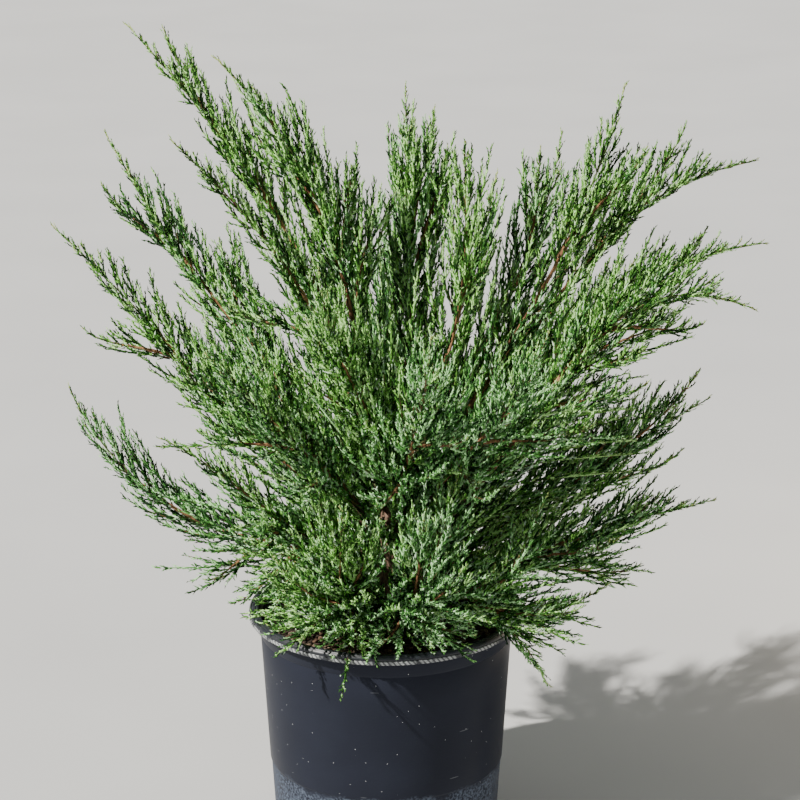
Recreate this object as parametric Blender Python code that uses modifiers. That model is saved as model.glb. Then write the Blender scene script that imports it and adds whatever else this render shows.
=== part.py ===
# A potted sea green juniper: nursery pot, soil, a short trunk, its boughs and the masses of foliage that they
# carry. Metres, +Z up. The pot stands on the plane z = 0 with its axis on Z, and its front is on the -Y side.

import math
import random
from collections import namedtuple

import bmesh
import bpy
import numpy as np
from mathutils import Matrix, Vector
from mathutils.kdtree import KDTree

# Clearance between neighbouring solids.
GAP = 0.0003

# Pot: a black nursery can with a rolled lip.
POT_HEIGHT = 0.240
LIP_RADIUS = 0.140
LIP_TUBE = 0.0045
LIP_TURNS = (150, 110, 70, 30, -10, -50, -85)
WALL = 0.0024
WALL_RADIUS_TOP = 0.1295
WALL_RADIUS_FOOT = 0.1150
FOOT_CHAMFER = 0.0020
FLOOR_THICKNESS = 0.0030
COLLAR_DEPTH = 0.026
COLLAR_STEP = 0.0006
GROOVE_DEPTH = 0.0009
GROOVE_WIDTH = 0.0024
POT_SIDES = 36

# Soil stands a little below the lip.
SOIL_TOP = 0.222

# Trunk: a short flared stem that leans a little to the right.
TRUNK_TOP = 0.392
TRUNK_LEAN = 0.012
TRUNK_FOOT_RADIUS = 0.0165
TRUNK_TOP_RADIUS = 0.0085
FLARE = 0.0085
FLARE_HEIGHT = 0.022
TRUNK_SIDES = 16
# Shares of the trunk's height where its taper or flare changes.
TRUNK_RINGS = (0.0, 0.035, 0.095, 0.235, 0.46, 1.0)

# Boughs are seated between these heights on the trunk, the flattest lowest and the steepest highest. Where a
# seat is taken, others are tried, up to SEAT_STEPS higher or lower and swung round the trunk by these degrees.
SEAT_LOWEST = 0.246
SEAT_HIGHEST = 0.384
STEEPEST_RISE = 80.0
SEAT_STEP = 0.005
SEAT_STEPS = 8
SEAT_SWINGS = (0, 15, -15, 30, -30, 45, -45, 60, -60)
SWING_LIKE_STEP = 12
SEARCH_STEPS = 48
LIMB_ROOM = 0.0010

# Limbs: radii of a bough at its seat and its end, of the stems that carry a mass, and of any limb's tip.
BOUGH_RADIUS = 0.0044
BOUGH_END_RADIUS = 0.0032
BOUGH_SIDES = 6
BOUGH_SEGMENTS = 2
STEM_RADIUS = 0.0029
FORK_RADIUS = 0.0019
TIP_RADIUS = 0.0007
THIN_BY = 0.625

# A centre line bends over these shares of its length at each end, and a fork lifts as it ends.
BEND = 0.40
FORK_END_BEND = 0.32
FORK_LIFT = 0.6
AXIS_STEPS = 40
AXIS_PARTS = 6

# The crown is dense, so a mass swells round its leaders into a core that its sprays stand out of: shares
# along the leader, and of the core's radius there.
CORE_SIDES = 5
LONG_CORE = ((0.08, 0.60), (0.24, 1.0), (0.46, 0.95), (0.68, 0.55))
SHORT_CORE = ((0.22, 1.0), (0.60, 0.80))
CORE_ROOM = 0.0012
CORE_SHRINK = 0.9
RING_POINTS = 8

# Growth rule, shared by every mass: side sprays turned by the golden angle along a leader, pulled upwards and
# shorter towards its tip, where one more spray ends it. The drifts vary their place, turn and length.
GOLDEN_TURN = math.radians(137.5)
UP_PULL = 0.22
SPRAY_SPACING = 0.024
LEAST_SPRAYS = 3
SPRAYS_FROM = 0.05
SPRAYS_UNTIL = 0.86
SHORTENING = 0.80
SHORTENING_CURVE = 1.5
PLACE_DRIFT = 0.3
TURN_DRIFT = 0.2
LENGTH_DRIFT = 0.1
TIP_SHARE = 0.82

# A spray is a toothed blade: five prongs where it is long, else three. Widths are shares of its length.
SIDE_WIDTH = 0.44
TIP_WIDTH = 0.28
SPRAY_THICKNESS = 0.0024
SPRAY_SINK = 0.008
LONG_SPRAY = 0.058
SHORTEST_SPRAY = 0.026

# Angles from the leader, and shares of its length, that a side spray is tried at until one fits. Each is
# tried with its blade rolled three ways.
SPRAY_TRIES = ((42, 1.0), (32, 1.0), (22, 0.95), (38, 0.75), (25, 0.70), (32, 0.55))
ROLL_TRIES = (0.0, math.pi / 3, -math.pi / 3)

# Half of a blade's outline from root to tip, as shares of its length and half-width: prong tips and notches.
# The hull is the same with its notches filled, and the ridge is where both faces are thickest.
LONG_OUTLINE = ((0.56, 1.00), (0.50, 0.44), (0.84, 0.66), (0.76, 0.28))
SHORT_OUTLINE = ((0.62, 1.00), (0.56, 0.40))
HULL_ALONG = (0.0, 0.56, 0.84, 1.0)
HULL_WIDTH = (0.0, 1.0, 0.66, 0.0)
SPRAY_RIDGE = 0.40
RIDGE_POINTS = (0.3, 0.5, 0.7, 0.85)
ROOT_SHARE = 0.02

# Room that foliage keeps to its space's edge, to other limbs, to the pot and to the leaders of its own mass.
SPACE_MARGIN = 0.0016
LIMB_CLEARANCE = 0.0006
POT_CLEARANCE = 0.0015
SIBLING_ROOM = 0.5
LIMB_STEP = 0.0025

MERGE = 1e-6
SOLVERS = ("MANIFOLD", "EXACT")

# Each plume is a bough and the mass that it carries. azimuth runs from +X towards +Y and, with reach and
# height, places its tip from the pot's centre and the ground. seat_rise and tip_rise are its slopes there, in
# degrees. bare is the share of its length that the bough takes, spread the length of its longest side sprays
# and core the radius of its dense core. Each fork is one more leader: it leaves the first at a share of its
# length, ends at a place of its own, and full scales its core and its sprays.
Plume = namedtuple("Plume", "name azimuth reach height seat_rise tip_rise bare spread core forks")
Fork = namedtuple("Fork", "along azimuth reach height full")

# A leader is a centre line that carries sprays from start on. A limb is what is drawn out along it.
Leader = namedtuple("Leader", "axis start radius core core_shape spread")
Limb = namedtuple("Limb", "points radii")
Spray = namedtuple("Spray", "root heading face length width prongs")

PLUMES = (
    Plume("left_peak", 173, 0.253, 0.831, 78, 48, 0.20, 0.080, 0.016,
          (Fork(0.58, 162, 0.229, 0.819, 0.6),)),
    Plume("left_crest", 199, 0.171, 0.815, 80, 46, 0.20, 0.085, 0.019,
          (Fork(0.42, 223, 0.044, 0.704, 1.0), Fork(0.60, 190, 0.130, 0.740, 0.8),
           Fork(0.30, 262, 0.030, 0.684, 1.0))),
    Plume("left_sweep", 212, 0.235, 0.750, 74, 44, 0.20, 0.075, 0.015,
          (Fork(0.36, 209, 0.180, 0.585, 0.9),)),
    Plume("left_arch", 161, 0.298, 0.711, 54, 60, 0.18, 0.080, 0.017,
          (Fork(0.66, 168, 0.289, 0.666, 0.6), Fork(0.35, 161, 0.176, 0.610, 1.0))),
    Plume("left_reach", 177, 0.329, 0.634, 34, 44, 0.18, 0.080, 0.017,
          (Fork(0.55, 180, 0.300, 0.534, 0.4), Fork(0.30, 193, 0.210, 0.520, 1.0))),
    Plume("left_low", 185, 0.313, 0.481, 6, 68, 0.18, 0.080, 0.019,
          (Fork(0.35, 174, 0.215, 0.360, 0.7), Fork(0.25, 198, 0.190, 0.290, 1.0))),
    Plume("left_skirt", 209, 0.246, 0.458, 14, 32, 0.16, 0.060, 0.012,
          (Fork(0.20, 203, 0.170, 0.268, 1.0), Fork(0.30, 226, 0.195, 0.360, 1.2),
           Fork(0.20, 228, 0.175, 0.280, 1.0))),
    Plume("centre_peak", 46, 0.028, 0.772, 76, 93, 0.18, 0.085, 0.025,
          (Fork(0.50, 46, 0.069, 0.743, 0.8), Fork(0.38, 26, 0.068, 0.710, 0.9))),
    Plume("centre_right", -12, 0.110, 0.695, 74, 76, 0.18, 0.085, 0.025,
          (Fork(0.50, 21, 0.084, 0.715, 0.9),)),
    Plume("right_twin", 34, 0.216, 0.706, 62, 80, 0.20, 0.080, 0.020,
          (Fork(0.60, 21, 0.165, 0.703, 0.6),)),
    Plume("right_peak", -5, 0.231, 0.782, 60, 76, 0.20, 0.080, 0.020,
          (Fork(0.62, -14, 0.256, 0.729, 0.6),)),
    Plume("right_crest", 9, 0.375, 0.689, 50, 8, 0.20, 0.080, 0.019,
          (Fork(0.60, 18, 0.318, 0.719, 0.6),)),
    Plume("right_arch", -6, 0.371, 0.629, 42, 8, 0.20, 0.080, 0.019,
          (Fork(0.60, -4, 0.314, 0.641, 0.6), Fork(0.40, -10, 0.299, 0.575, 0.9))),
    Plume("right_sweep", -22, 0.374, 0.590, 38, -18, 0.18, 0.085, 0.022,
          (Fork(0.45, -23, 0.271, 0.545, 0.9), Fork(0.28, -36, 0.246, 0.482, 0.9),
           Fork(0.35, -22, 0.272, 0.509, 0.9), Fork(0.60, -11, 0.314, 0.555, 0.6))),
    Plume("right_shade", 21, 0.364, 0.420, 14, 22, 0.18, 0.080, 0.021,
          (Fork(0.55, 17, 0.339, 0.461, 0.5), Fork(0.32, 2, 0.253, 0.463, 1.0),
           Fork(0.40, 18, 0.326, 0.374, 0.5))),
    Plume("right_low", -5, 0.331, 0.363, 12, 14, 0.16, 0.080, 0.020,
          (Fork(0.50, 0, 0.279, 0.361, 0.7), Fork(0.30, -24, 0.249, 0.350, 1.0),
           Fork(0.25, 0, 0.260, 0.284, 0.7))),
    Plume("right_droop", -37, 0.199, 0.201, 30, -62, 0.18, 0.070, 0.015,
          (Fork(0.45, -18, 0.232, 0.290, 0.5), Fork(0.30, -34, 0.233, 0.290, 1.3),
           Fork(0.30, -40, 0.200, 0.400, 1.1), Fork(0.20, -50, 0.165, 0.330, 1.0))),
    Plume("front_left", 233, 0.274, 0.573, 50, 48, 0.16, 0.090, 0.026,
          (Fork(0.22, 243, 0.190, 0.430, 0.9), Fork(0.42, 222, 0.240, 0.480, 0.8),
           Fork(0.30, 221, 0.165, 0.560, 0.8))),
    Plume("front_rise", 251, 0.190, 0.640, 68, 74, 0.16, 0.090, 0.026,
          (Fork(0.22, 262, 0.135, 0.480, 0.9), Fork(0.42, 240, 0.150, 0.580, 0.8),
           Fork(0.28, 234, 0.150, 0.530, 0.9))),
    Plume("front_centre", -81, 0.262, 0.600, 54, 62, 0.16, 0.090, 0.026,
          (Fork(0.20, -93, 0.180, 0.410, 0.9), Fork(0.42, -70, 0.225, 0.490, 0.8))),
    Plume("front_right", -56, 0.265, 0.590, 54, 60, 0.16, 0.090, 0.026,
          (Fork(0.22, -62, 0.190, 0.430, 0.9), Fork(0.42, -45, 0.240, 0.480, 0.8))),
    Plume("front_skirt_left", 244, 0.190, 0.270, 22, -10, 0.14, 0.075, 0.020,
          (Fork(0.25, 227, 0.170, 0.268, 1.0), Fork(0.25, 262, 0.166, 0.264, 1.0),
           Fork(0.25, 256, 0.175, 0.405, 1.2), Fork(0.25, 268, 0.150, 0.385, 1.2),
           Fork(0.20, 244, 0.150, 0.420, 1.2), Fork(0.35, 236, 0.190, 0.350, 1.0))),
    Plume("front_skirt_right", -76, 0.185, 0.266, 22, -10, 0.14, 0.075, 0.020,
          (Fork(0.25, -57, 0.160, 0.262, 1.0), Fork(0.25, -93, 0.164, 0.264, 1.0),
           Fork(0.25, -78, 0.175, 0.400, 1.2), Fork(0.20, -62, 0.150, 0.430, 1.2),
           Fork(0.30, -66, 0.190, 0.350, 1.0))),
    Plume("back_left", 138, 0.312, 0.490, 44, 46, 0.18, 0.090, 0.026,
          (Fork(0.35, 146, 0.230, 0.400, 0.9), Fork(0.50, 128, 0.270, 0.520, 0.8))),
    Plume("back_centre", 88, 0.275, 0.590, 62, 62, 0.16, 0.090, 0.026,
          (Fork(0.35, 78, 0.200, 0.480, 0.9), Fork(0.50, 102, 0.240, 0.560, 0.8))),
    Plume("back_right", 43, 0.370, 0.540, 44, 40, 0.18, 0.090, 0.026,
          (Fork(0.35, 52, 0.260, 0.470, 0.9), Fork(0.50, 36, 0.290, 0.560, 0.8))),
    Plume("back_skirt_left", 118, 0.290, 0.385, 20, 26, 0.18, 0.085, 0.022,
          (Fork(0.25, 130, 0.190, 0.280, 1.0), Fork(0.35, 105, 0.200, 0.290, 1.0))),
    Plume("back_skirt_right", 68, 0.320, 0.370, 18, 24, 0.18, 0.085, 0.022,
          (Fork(0.25, 84, 0.190, 0.280, 1.0), Fork(0.35, 56, 0.220, 0.290, 1.0))),
)

FOLIAGE_GREENS = ((0.125, 0.185, 0.080), (0.095, 0.150, 0.060), (0.160, 0.220, 0.105))


def clear_scene():
    for obj in list(bpy.data.objects):
        bpy.data.objects.remove(obj, do_unlink=True)


def make_collection(name):
    collection = bpy.data.collections.new(name)
    bpy.context.scene.collection.children.link(collection)
    return collection


def make_material(name, colour, roughness):
    material = bpy.data.materials.new(name)
    material.use_nodes = True
    shader = material.node_tree.nodes["Principled BSDF"]
    shader.inputs["Base Color"].default_value = (*colour, 1.0)
    shader.inputs["Roughness"].default_value = roughness
    shader.inputs["Metallic"].default_value = 0.0
    return material


def make_object(name, mesh, collection, material):
    obj = bpy.data.objects.new(name, mesh)
    collection.objects.link(obj)
    obj.data.materials.append(material)
    return obj


def direction(azimuth, rise):
    turn = math.radians(azimuth)
    lift = math.radians(rise)
    return Vector((math.cos(turn) * math.cos(lift), math.sin(turn) * math.cos(lift), math.sin(lift)))


def tip_place(plume):
    """Where the tip of a plume, or of a fork, lies."""
    turn = math.radians(plume.azimuth)
    return Vector((math.cos(turn) * plume.reach, math.sin(turn) * plume.reach, plume.height))


def bezier(start, start_pull, end_pull, end, steps):
    """Points along a cubic curve between its ends, pulled towards two places on the way."""
    points = []
    for step in range(steps + 1):
        t = step / steps
        s = 1.0 - t
        points.append(s**3 * start + 3 * s * s * t * start_pull + 3 * s * t * t * end_pull + t**3 * end)
    return points


def trunk_centre(height):
    return Vector((TRUNK_LEAN * (height - SOIL_TOP) / (TRUNK_TOP - SOIL_TOP), 0.0, height))


def trunk_radius(height):
    share = (height - SOIL_TOP) / (TRUNK_TOP - SOIL_TOP)
    taper = TRUNK_FOOT_RADIUS + (TRUNK_TOP_RADIUS - TRUNK_FOOT_RADIUS) * share
    flare = FLARE * max(0.0, 1.0 - (height - SOIL_TOP) / FLARE_HEIGHT) ** 2
    return taper + flare


def limb_radius(share):
    """Radius at this share of a plume's length, from its seat to its tip."""
    return BOUGH_RADIUS + (TIP_RADIUS - BOUGH_RADIUS) * min(1.0, share / THIN_BY)


def seated_axis(plume, seat_height, swing):
    """The plume's centre line from the trunk's side to its tip; swing turns its seat round the trunk."""
    tip = tip_place(plume)
    seat = trunk_centre(seat_height)
    heading = math.degrees(math.atan2(tip.y - seat.y, tip.x - seat.x)) + swing
    lift = math.radians(plume.seat_rise)
    nearest = seat.z + BOUGH_RADIUS * math.cos(lift)
    offset = trunk_radius(nearest) + GAP + BOUGH_RADIUS * math.sin(lift)
    start = seat + direction(heading, 0) * offset
    pull = BEND * (tip - start).length
    return bezier(
        start,
        start + direction(heading, plume.seat_rise) * pull,
        tip - direction(heading - swing, plume.tip_rise) * pull,
        tip,
        AXIS_STEPS,
    )


def fine_points(axis):
    """Points along the axis with the limb's radius at each, as one array."""
    rows = []
    for k in range(SEARCH_STEPS + 1):
        share = k / SEARCH_STEPS
        rows.append((*axis_point(axis, share)[0], limb_radius(share)))
    return np.array(rows)


def room_between(first, second):
    """The smallest gap between two limbs given as points with radii."""
    apart = np.linalg.norm(first[:, None, :3] - second[None, :, :3], axis=2)
    return float((apart - first[:, None, 3] - second[None, :, 3]).min())


def plume_axes():
    """Seats each plume, steepest first, at the place nearest its own height where it clears those seated."""
    middle = trunk_centre((SEAT_LOWEST + SEAT_HIGHEST) / 2)

    def steepness(plume):
        tip = tip_place(plume)
        return math.degrees(math.atan2(tip.z - middle.z, (tip - middle).to_2d().length))

    axes = {}
    placed = []
    for plume in sorted(PLUMES, key=steepness, reverse=True):
        share = min(1.0, max(0.0, steepness(plume) / STEEPEST_RISE))
        wanted = SEAT_LOWEST + (SEAT_HIGHEST - SEAT_LOWEST) * share
        best = None
        for effort, height, swing in seat_choices(wanted):
            axis = seated_axis(plume, height, swing)
            points = fine_points(axis)
            room = min([room_between(points, other) for other in placed], default=1.0)
            if best is None or room > best[0]:
                best = (room, axis, points)
            if room > LIMB_ROOM:
                break
        axes[plume.name] = best[1]
        placed.append(best[2])
    return axes


def seat_choices(wanted):
    """Heights and swings to try for a seat, the least change first."""
    choices = []
    for step in range(-SEAT_STEPS, SEAT_STEPS + 1):
        height = wanted + step * SEAT_STEP
        if not SEAT_LOWEST <= height <= SEAT_HIGHEST:
            continue
        for swing in SEAT_SWINGS:
            choices.append((abs(step) + abs(swing) / SWING_LIKE_STEP, height, swing))
    return sorted(choices)


def fork_axis(fork, axis):
    """One more leader leaves the main one along its way and ends at its own tip."""
    index = round(fork.along * AXIS_STEPS)
    start = axis[index]
    tip = tip_place(fork)
    length = (tip - start).length
    heading = (axis[index + 1] - start).normalized()
    end_heading = ((tip - start).normalized() + Vector((0, 0, FORK_LIFT))).normalized()
    leaving = start + heading * length * BEND
    arriving = tip - end_heading * length * FORK_END_BEND
    return bezier(start, leaving, arriving, tip, AXIS_STEPS // 2)


def axis_point(axis, share):
    """The point and heading at this share of the axis, counted in its steps."""
    place = min(max(share, 0.0), 1.0) * (len(axis) - 1)
    index = min(int(place), len(axis) - 2)
    step = axis[index + 1] - axis[index]
    return axis[index] + step * (place - index), step.normalized()


def axis_stretch(axis, start, end, segments):
    """Points evenly along the axis between two shares of it."""
    return [axis_point(axis, start + (end - start) * k / segments)[0] for k in range(segments + 1)]


class Space:
    """The room that one mass keeps to: nearer its own centre lines than any other, clear of limbs and pot."""

    def __init__(self, own_axes, other_axes, bough_axes):
        self.own = nearest_tree(own_axes)
        self.others = nearest_tree(other_axes)
        self.siblings = np.empty((0, 4))
        limbs = limb_points(other_axes, STEM_RADIUS) + limb_points(bough_axes, BOUGH_RADIUS) + trunk_points()
        self.limbs = np.array(limbs)

    def holds_point(self, point, radius=0.0):
        """True where a ball of this radius lies nearer the mass's own centre lines and clear of the pot."""
        if self.others.find(point)[2] - self.own.find(point)[2] < SPACE_MARGIN + 2 * radius:
            return False
        return clear_of_pot(point, POT_CLEARANCE + radius)

    def core_radius(self, axis, share, radius, least):
        """The largest radius up to this one whose ring round the axis keeps to the space."""
        centre, heading = axis_point(axis, share)
        side = heading.orthogonal().normalized()
        while radius > least:
            turns = [Matrix.Rotation(math.tau * k / RING_POINTS, 3, heading) for k in range(RING_POINTS)]
            ring = [centre + turn @ side * radius for turn in turns]
            if all(self.holds_point(point, CORE_ROOM) for point in ring) and self.limb_room(ring) > CORE_ROOM:
                return radius
            radius *= CORE_SHRINK
        return least

    def limb_room(self, points):
        """The smallest gap between these points and any limb of another mass, any bough or the trunk."""
        apart = np.linalg.norm(np.array(points)[:, None] - self.limbs[None, :, :3], axis=2)
        return float((apart - self.limbs[:, 3]).min())

    def holds_spray(self, spray):
        """True where the spray lies in the space and no limb passes through its blade."""
        if not all(self.holds_point(point) for point in spray_points(spray)):
            return False
        return not passes_through(self.limbs, spray) and not passes_through(self.siblings, spray)


def passes_through(limbs, spray):
    """True where one of the limb's points, with its radius, touches the spray's blade."""
    across, face = spray_sides(spray)
    from_root = limbs[:, :3] - np.array(spray.root)
    along = from_root @ np.array(spray.heading)
    aside = np.abs(from_root @ np.array(across))
    above = np.abs(from_root @ np.array(face))
    reach = limbs[:, 3] + LIMB_CLEARANCE
    touching = (along > -reach) & (along < spray.length + reach)
    touching &= (aside < half_width(spray, along) + reach) & (above < reach + SPRAY_THICKNESS / 2)
    return bool(touching.any())


def half_width(spray, along):
    """The blade's half-width, notches filled, at this distance along it."""
    widths = np.interp(along / spray.length, HULL_ALONG, HULL_WIDTH)
    return widths * spray.length * spray.width / 2


def limb_points(axes, radius):
    """Points along the limbs no further apart than LIMB_STEP, each with the limb's radius."""
    rows = []
    for axis in axes:
        parts = max(2, math.ceil(axis_length(axis) / LIMB_STEP))
        rows += [(*axis_point(axis, k / parts)[0], radius) for k in range(parts + 1)]
    return rows


def trunk_points():
    """Points up the trunk no further apart than LIMB_STEP, each with its radius."""
    parts = math.ceil((TRUNK_TOP - SOIL_TOP) / LIMB_STEP)
    heights = [SOIL_TOP + (TRUNK_TOP - SOIL_TOP) * k / parts for k in range(parts + 1)]
    return [(*trunk_centre(height), trunk_radius(height)) for height in heights]


def nearest_tree(axes):
    """A search tree of closely set points on these axes."""
    points = [
        axis[k].lerp(axis[k + 1], part / AXIS_PARTS)
        for axis in axes
        for k in range(len(axis) - 1)
        for part in range(AXIS_PARTS + 1)
    ]
    tree = KDTree(len(points))
    for index, point in enumerate(points):
        tree.insert(point, index)
    tree.balance()
    return tree


def clear_of_pot(point, clearance):
    """Foliage stays above the lip and the soil, or hangs outside the lip."""
    radius = point.to_2d().length
    if radius > LIP_RADIUS + clearance:
        return point.z > clearance
    if radius < WALL_RADIUS_TOP - LIP_TUBE * 2 - clearance:
        return point.z > SOIL_TOP + clearance
    return point.z > POT_HEIGHT + clearance


def spray_outline(prongs):
    """The blade's corners from its root round to its root again, at unit length and half-width."""
    side = LONG_OUTLINE if prongs > 3 else SHORT_OUTLINE
    left = [Vector((along, across, 0)) for along, across in side]
    right = [Vector((along, -across, 0)) for along, across in reversed(side)]
    return [Vector((0, 0, 0))] + left + [Vector((1, 0, 0))] + right


def make_spray_mesh(name, prongs):
    """A toothed blade of unit size: one outlined face on each side, raised to a low point over its ridge."""
    shape = bmesh.new()
    corners = [shape.verts.new(point) for point in spray_outline(prongs)]
    for ring, height in ((corners[::-1], 0.5), (corners, -0.5)):
        face = shape.faces.new(ring)
        ridge = bmesh.ops.poke(shape, faces=[face])["verts"][0]
        ridge.co = (SPRAY_RIDGE, 0, height)
    bmesh.ops.recalc_face_normals(shape, faces=shape.faces)
    mesh = bpy.data.meshes.new(name)
    shape.to_mesh(mesh)
    shape.free()
    return mesh


def spray_sides(spray):
    """The directions across the spray's blade and out of its face."""
    across = spray.face.cross(spray.heading).normalized()
    return across, spray.heading.cross(across).normalized()


def spray_matrix(spray):
    """Takes the unit blade to the spray's place and size."""
    across, face = spray_sides(spray)
    aside = across * spray.length * spray.width / 2
    columns = (spray.heading * spray.length, aside, face * SPRAY_THICKNESS)
    turn = Matrix([[columns[c][r] for c in range(3)] for r in range(3)]).to_4x4()
    return Matrix.Translation(spray.root) @ turn


def spray_points(spray):
    """The outline's corners and edge middles and the ridge where the spray would lie, without its root."""
    corners = spray_outline(spray.prongs)
    middles = [corners[k].lerp(corners[k - 1], 0.5) for k in range(2, len(corners))]
    ridge = [Vector((share, 0, 0)) for share in RIDGE_POINTS]
    place = spray_matrix(spray)
    return [place @ point for point in corners[1:] + middles + ridge]


def side_heading(heading, turn, angle):
    """A heading that leaves this one sideways at the angle, pulled upwards."""
    side = heading.orthogonal().normalized()
    side.rotate(Matrix.Rotation(turn, 3, heading))
    leaving = heading * math.cos(angle) + side * math.sin(angle)
    return (leaving + Vector((0, 0, UP_PULL))).normalized()


def random_face(rng, heading):
    """A direction square to the heading, turned at random."""
    side = heading.orthogonal().normalized()
    side.rotate(Matrix.Rotation(rng.uniform(0, math.tau), 3, heading))
    return side


def axis_length(axis):
    return sum((axis[k + 1] - axis[k]).length for k in range(len(axis) - 1))


def cuts(first, second):
    """True where an edge of the first spray's blade passes through the second's."""
    into_second = spray_matrix(second).inverted()
    corners = [into_second @ point for point in (first.root, *spray_points(first)[: 2 * first.prongs - 1])]
    for here, there in zip(corners, corners[1:] + corners[:1]):
        if here.z * there.z >= 0:
            continue
        crossing = here.lerp(there, here.z / (here.z - there.z))
        inside = abs(crossing.y) < np.interp(crossing.x, HULL_ALONG, HULL_WIDTH)
        if inside and ROOT_SHARE < crossing.x < 1:
            return True
    return False


def prongs_of(length):
    return 5 if length > LONG_SPRAY else 3


def side_spray_tries(centre, heading, stem, turn, roll, length):
    """The ways a side spray may leave a leader, the best first. Each is sunk in the leader's surface."""
    for angle, scale in SPRAY_TRIES:
        size = length * scale
        if size < SHORTEST_SPRAY:
            continue
        leaving = side_heading(heading, turn, math.radians(angle))
        to_surface = stem / math.sin(heading.angle(leaving))
        root = centre + leaving * max(0.0, to_surface - SPRAY_SINK)
        for more_roll in ROLL_TRIES:
            face = leaving.orthogonal().normalized()
            face.rotate(Matrix.Rotation(roll + more_roll, 3, leaving))
            yield Spray(root, leaving, face, size, SIDE_WIDTH, prongs_of(size))


def add_first_that_fits(space, sprays, tries):
    """Adds the first spray that keeps to the space and cuts no other, or none."""
    for spray in tries:
        if any(cuts(spray, other) or cuts(other, spray) for other in sprays):
            continue
        if space.holds_spray(spray):
            sprays.append(spray)
            return


def leader_radii(space, leader):
    """Shares along the leader and its radius at each, swollen into a core as far as the space has room."""
    shares = [leader.start]
    radii = [leader.radius]
    for share, swell in leader.core_shape:
        shares.append(leader.start + (1 - leader.start) * share)
        radii.append(space.core_radius(leader.axis, shares[-1], leader.core * swell, leader.radius))
    return [*shares, TIP_SHARE], [*radii, TIP_RADIUS]


def grow_leader(space, limbs, sprays, rng, leader):
    """One leader: its stem, its terminal spray, and side sprays that shorten towards its tip."""
    axis = leader.axis
    shares, radii = leader_radii(space, leader)
    limbs.append(Limb([axis_point(axis, share)[0] for share in shares], radii))
    tip, heading = axis_point(axis, TIP_SHARE)
    length = (axis[-1] - tip).length + SPRAY_SINK
    root = tip - heading * SPRAY_SINK
    sprays.append(Spray(root, heading, random_face(rng, heading), length, TIP_WIDTH, prongs_of(length)))
    grown = axis_length(axis) * (1 - leader.start) * SPRAYS_UNTIL
    count = max(LEAST_SPRAYS, round(grown / SPRAY_SPACING))
    turn = rng.uniform(0, math.tau)
    for k in range(count):
        drifted = (k + rng.uniform(0.0, PLACE_DRIFT)) / (count - 1)
        share = min(SPRAYS_FROM + (SPRAYS_UNTIL - SPRAYS_FROM) * drifted, SPRAYS_UNTIL)
        place = leader.start + (1 - leader.start) * share
        centre, heading = axis_point(axis, place)
        turn += GOLDEN_TURN + rng.uniform(-TURN_DRIFT, TURN_DRIFT)
        length = leader.spread * (1 - SHORTENING * share**SHORTENING_CURVE)
        length *= rng.uniform(1 - LENGTH_DRIFT, 1 + LENGTH_DRIFT)
        stem = float(np.interp(place, shares, radii))
        tries = side_spray_tries(centre, heading, stem, turn, rng.uniform(0, math.tau), length)
        add_first_that_fits(space, sprays, tries)


def drawn_out(shape, cap, keep_cap):
    """Extrudes the cap in place and returns the new one; only the first cap stays, to close the foot."""
    drawn = bmesh.ops.extrude_face_region(shape, geom=[cap])["geom"]
    if not keep_cap:
        bmesh.ops.delete(shape, geom=[cap], context="FACES_ONLY")
    return next(item for item in drawn if isinstance(item, bmesh.types.BMFace))


def limb_mesh(name, limb, sides):
    """A tapering limb: a closed cap drawn out along the points, one ring of sides at each."""
    shape = bmesh.new()
    count = len(limb.points)
    heading = (limb.points[1] - limb.points[0]).normalized()
    # The first corner of the ring is turned back towards where the limb comes from.
    roll = Matrix.Rotation(math.atan2(heading.y, heading.x) + math.pi / 2, 4, "Z")
    pose = Vector((0, 0, 1)).rotation_difference(heading).to_matrix().to_4x4() @ roll
    bmesh.ops.create_circle(
        shape,
        cap_ends=True,
        segments=sides,
        radius=limb.radii[0],
        matrix=Matrix.Translation(limb.points[0]) @ pose,
    )
    cap = shape.faces[:][0]
    for k in range(1, count):
        cap = drawn_out(shape, cap, keep_cap=(k == 1))
        onward = (limb.points[min(k + 1, count - 1)] - limb.points[k - 1]).normalized()
        turn = heading.rotation_difference(onward).to_matrix().to_4x4()
        heading = onward
        grow = Matrix.Scale(limb.radii[k] / limb.radii[k - 1], 4)
        move = Matrix.Translation(limb.points[k]) @ turn @ grow @ Matrix.Translation(-limb.points[k - 1])
        bmesh.ops.transform(shape, matrix=move, verts=cap.verts)
    bmesh.ops.recalc_face_normals(shape, faces=shape.faces)
    mesh = bpy.data.meshes.new(name)
    shape.to_mesh(mesh)
    shape.free()
    return mesh


def union_mesh(name, limbs, sprays, spray_meshes, solver):
    """One Boolean union of the main leader's limb with those of its forks and with the sprays."""
    pieces = make_collection("pieces_to_join")
    stem = bpy.data.objects.new("joined_stem", limb_mesh("joined_stem", limbs[0], CORE_SIDES))
    bpy.context.scene.collection.objects.link(stem)
    for k, limb in enumerate(limbs[1:]):
        mesh = limb_mesh(f"fork_{k}", limb, CORE_SIDES - 1)
        pieces.objects.link(bpy.data.objects.new(f"fork_{k}", mesh))
    for k, spray in enumerate(sprays):
        piece = bpy.data.objects.new(f"spray_{k}", spray_meshes[spray.prongs])
        piece.matrix_world = spray_matrix(spray)
        pieces.objects.link(piece)
    join = stem.modifiers.new("join", "BOOLEAN")
    join.operation = "UNION"
    join.operand_type = "COLLECTION"
    join.collection = pieces
    join.solver = solver
    graph = bpy.context.evaluated_depsgraph_get()
    mesh = bpy.data.meshes.new_from_object(stem.evaluated_get(graph))
    mesh.name = name
    for piece in [stem, *pieces.objects]:
        bpy.data.objects.remove(piece, do_unlink=True)
    bpy.data.collections.remove(pieces)
    keep_outer_body(mesh)
    return mesh


def is_closed(mesh):
    shape = bmesh.new()
    shape.from_mesh(mesh)
    closed = all(edge.is_manifold for edge in shape.edges)
    shape.free()
    return closed


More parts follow.
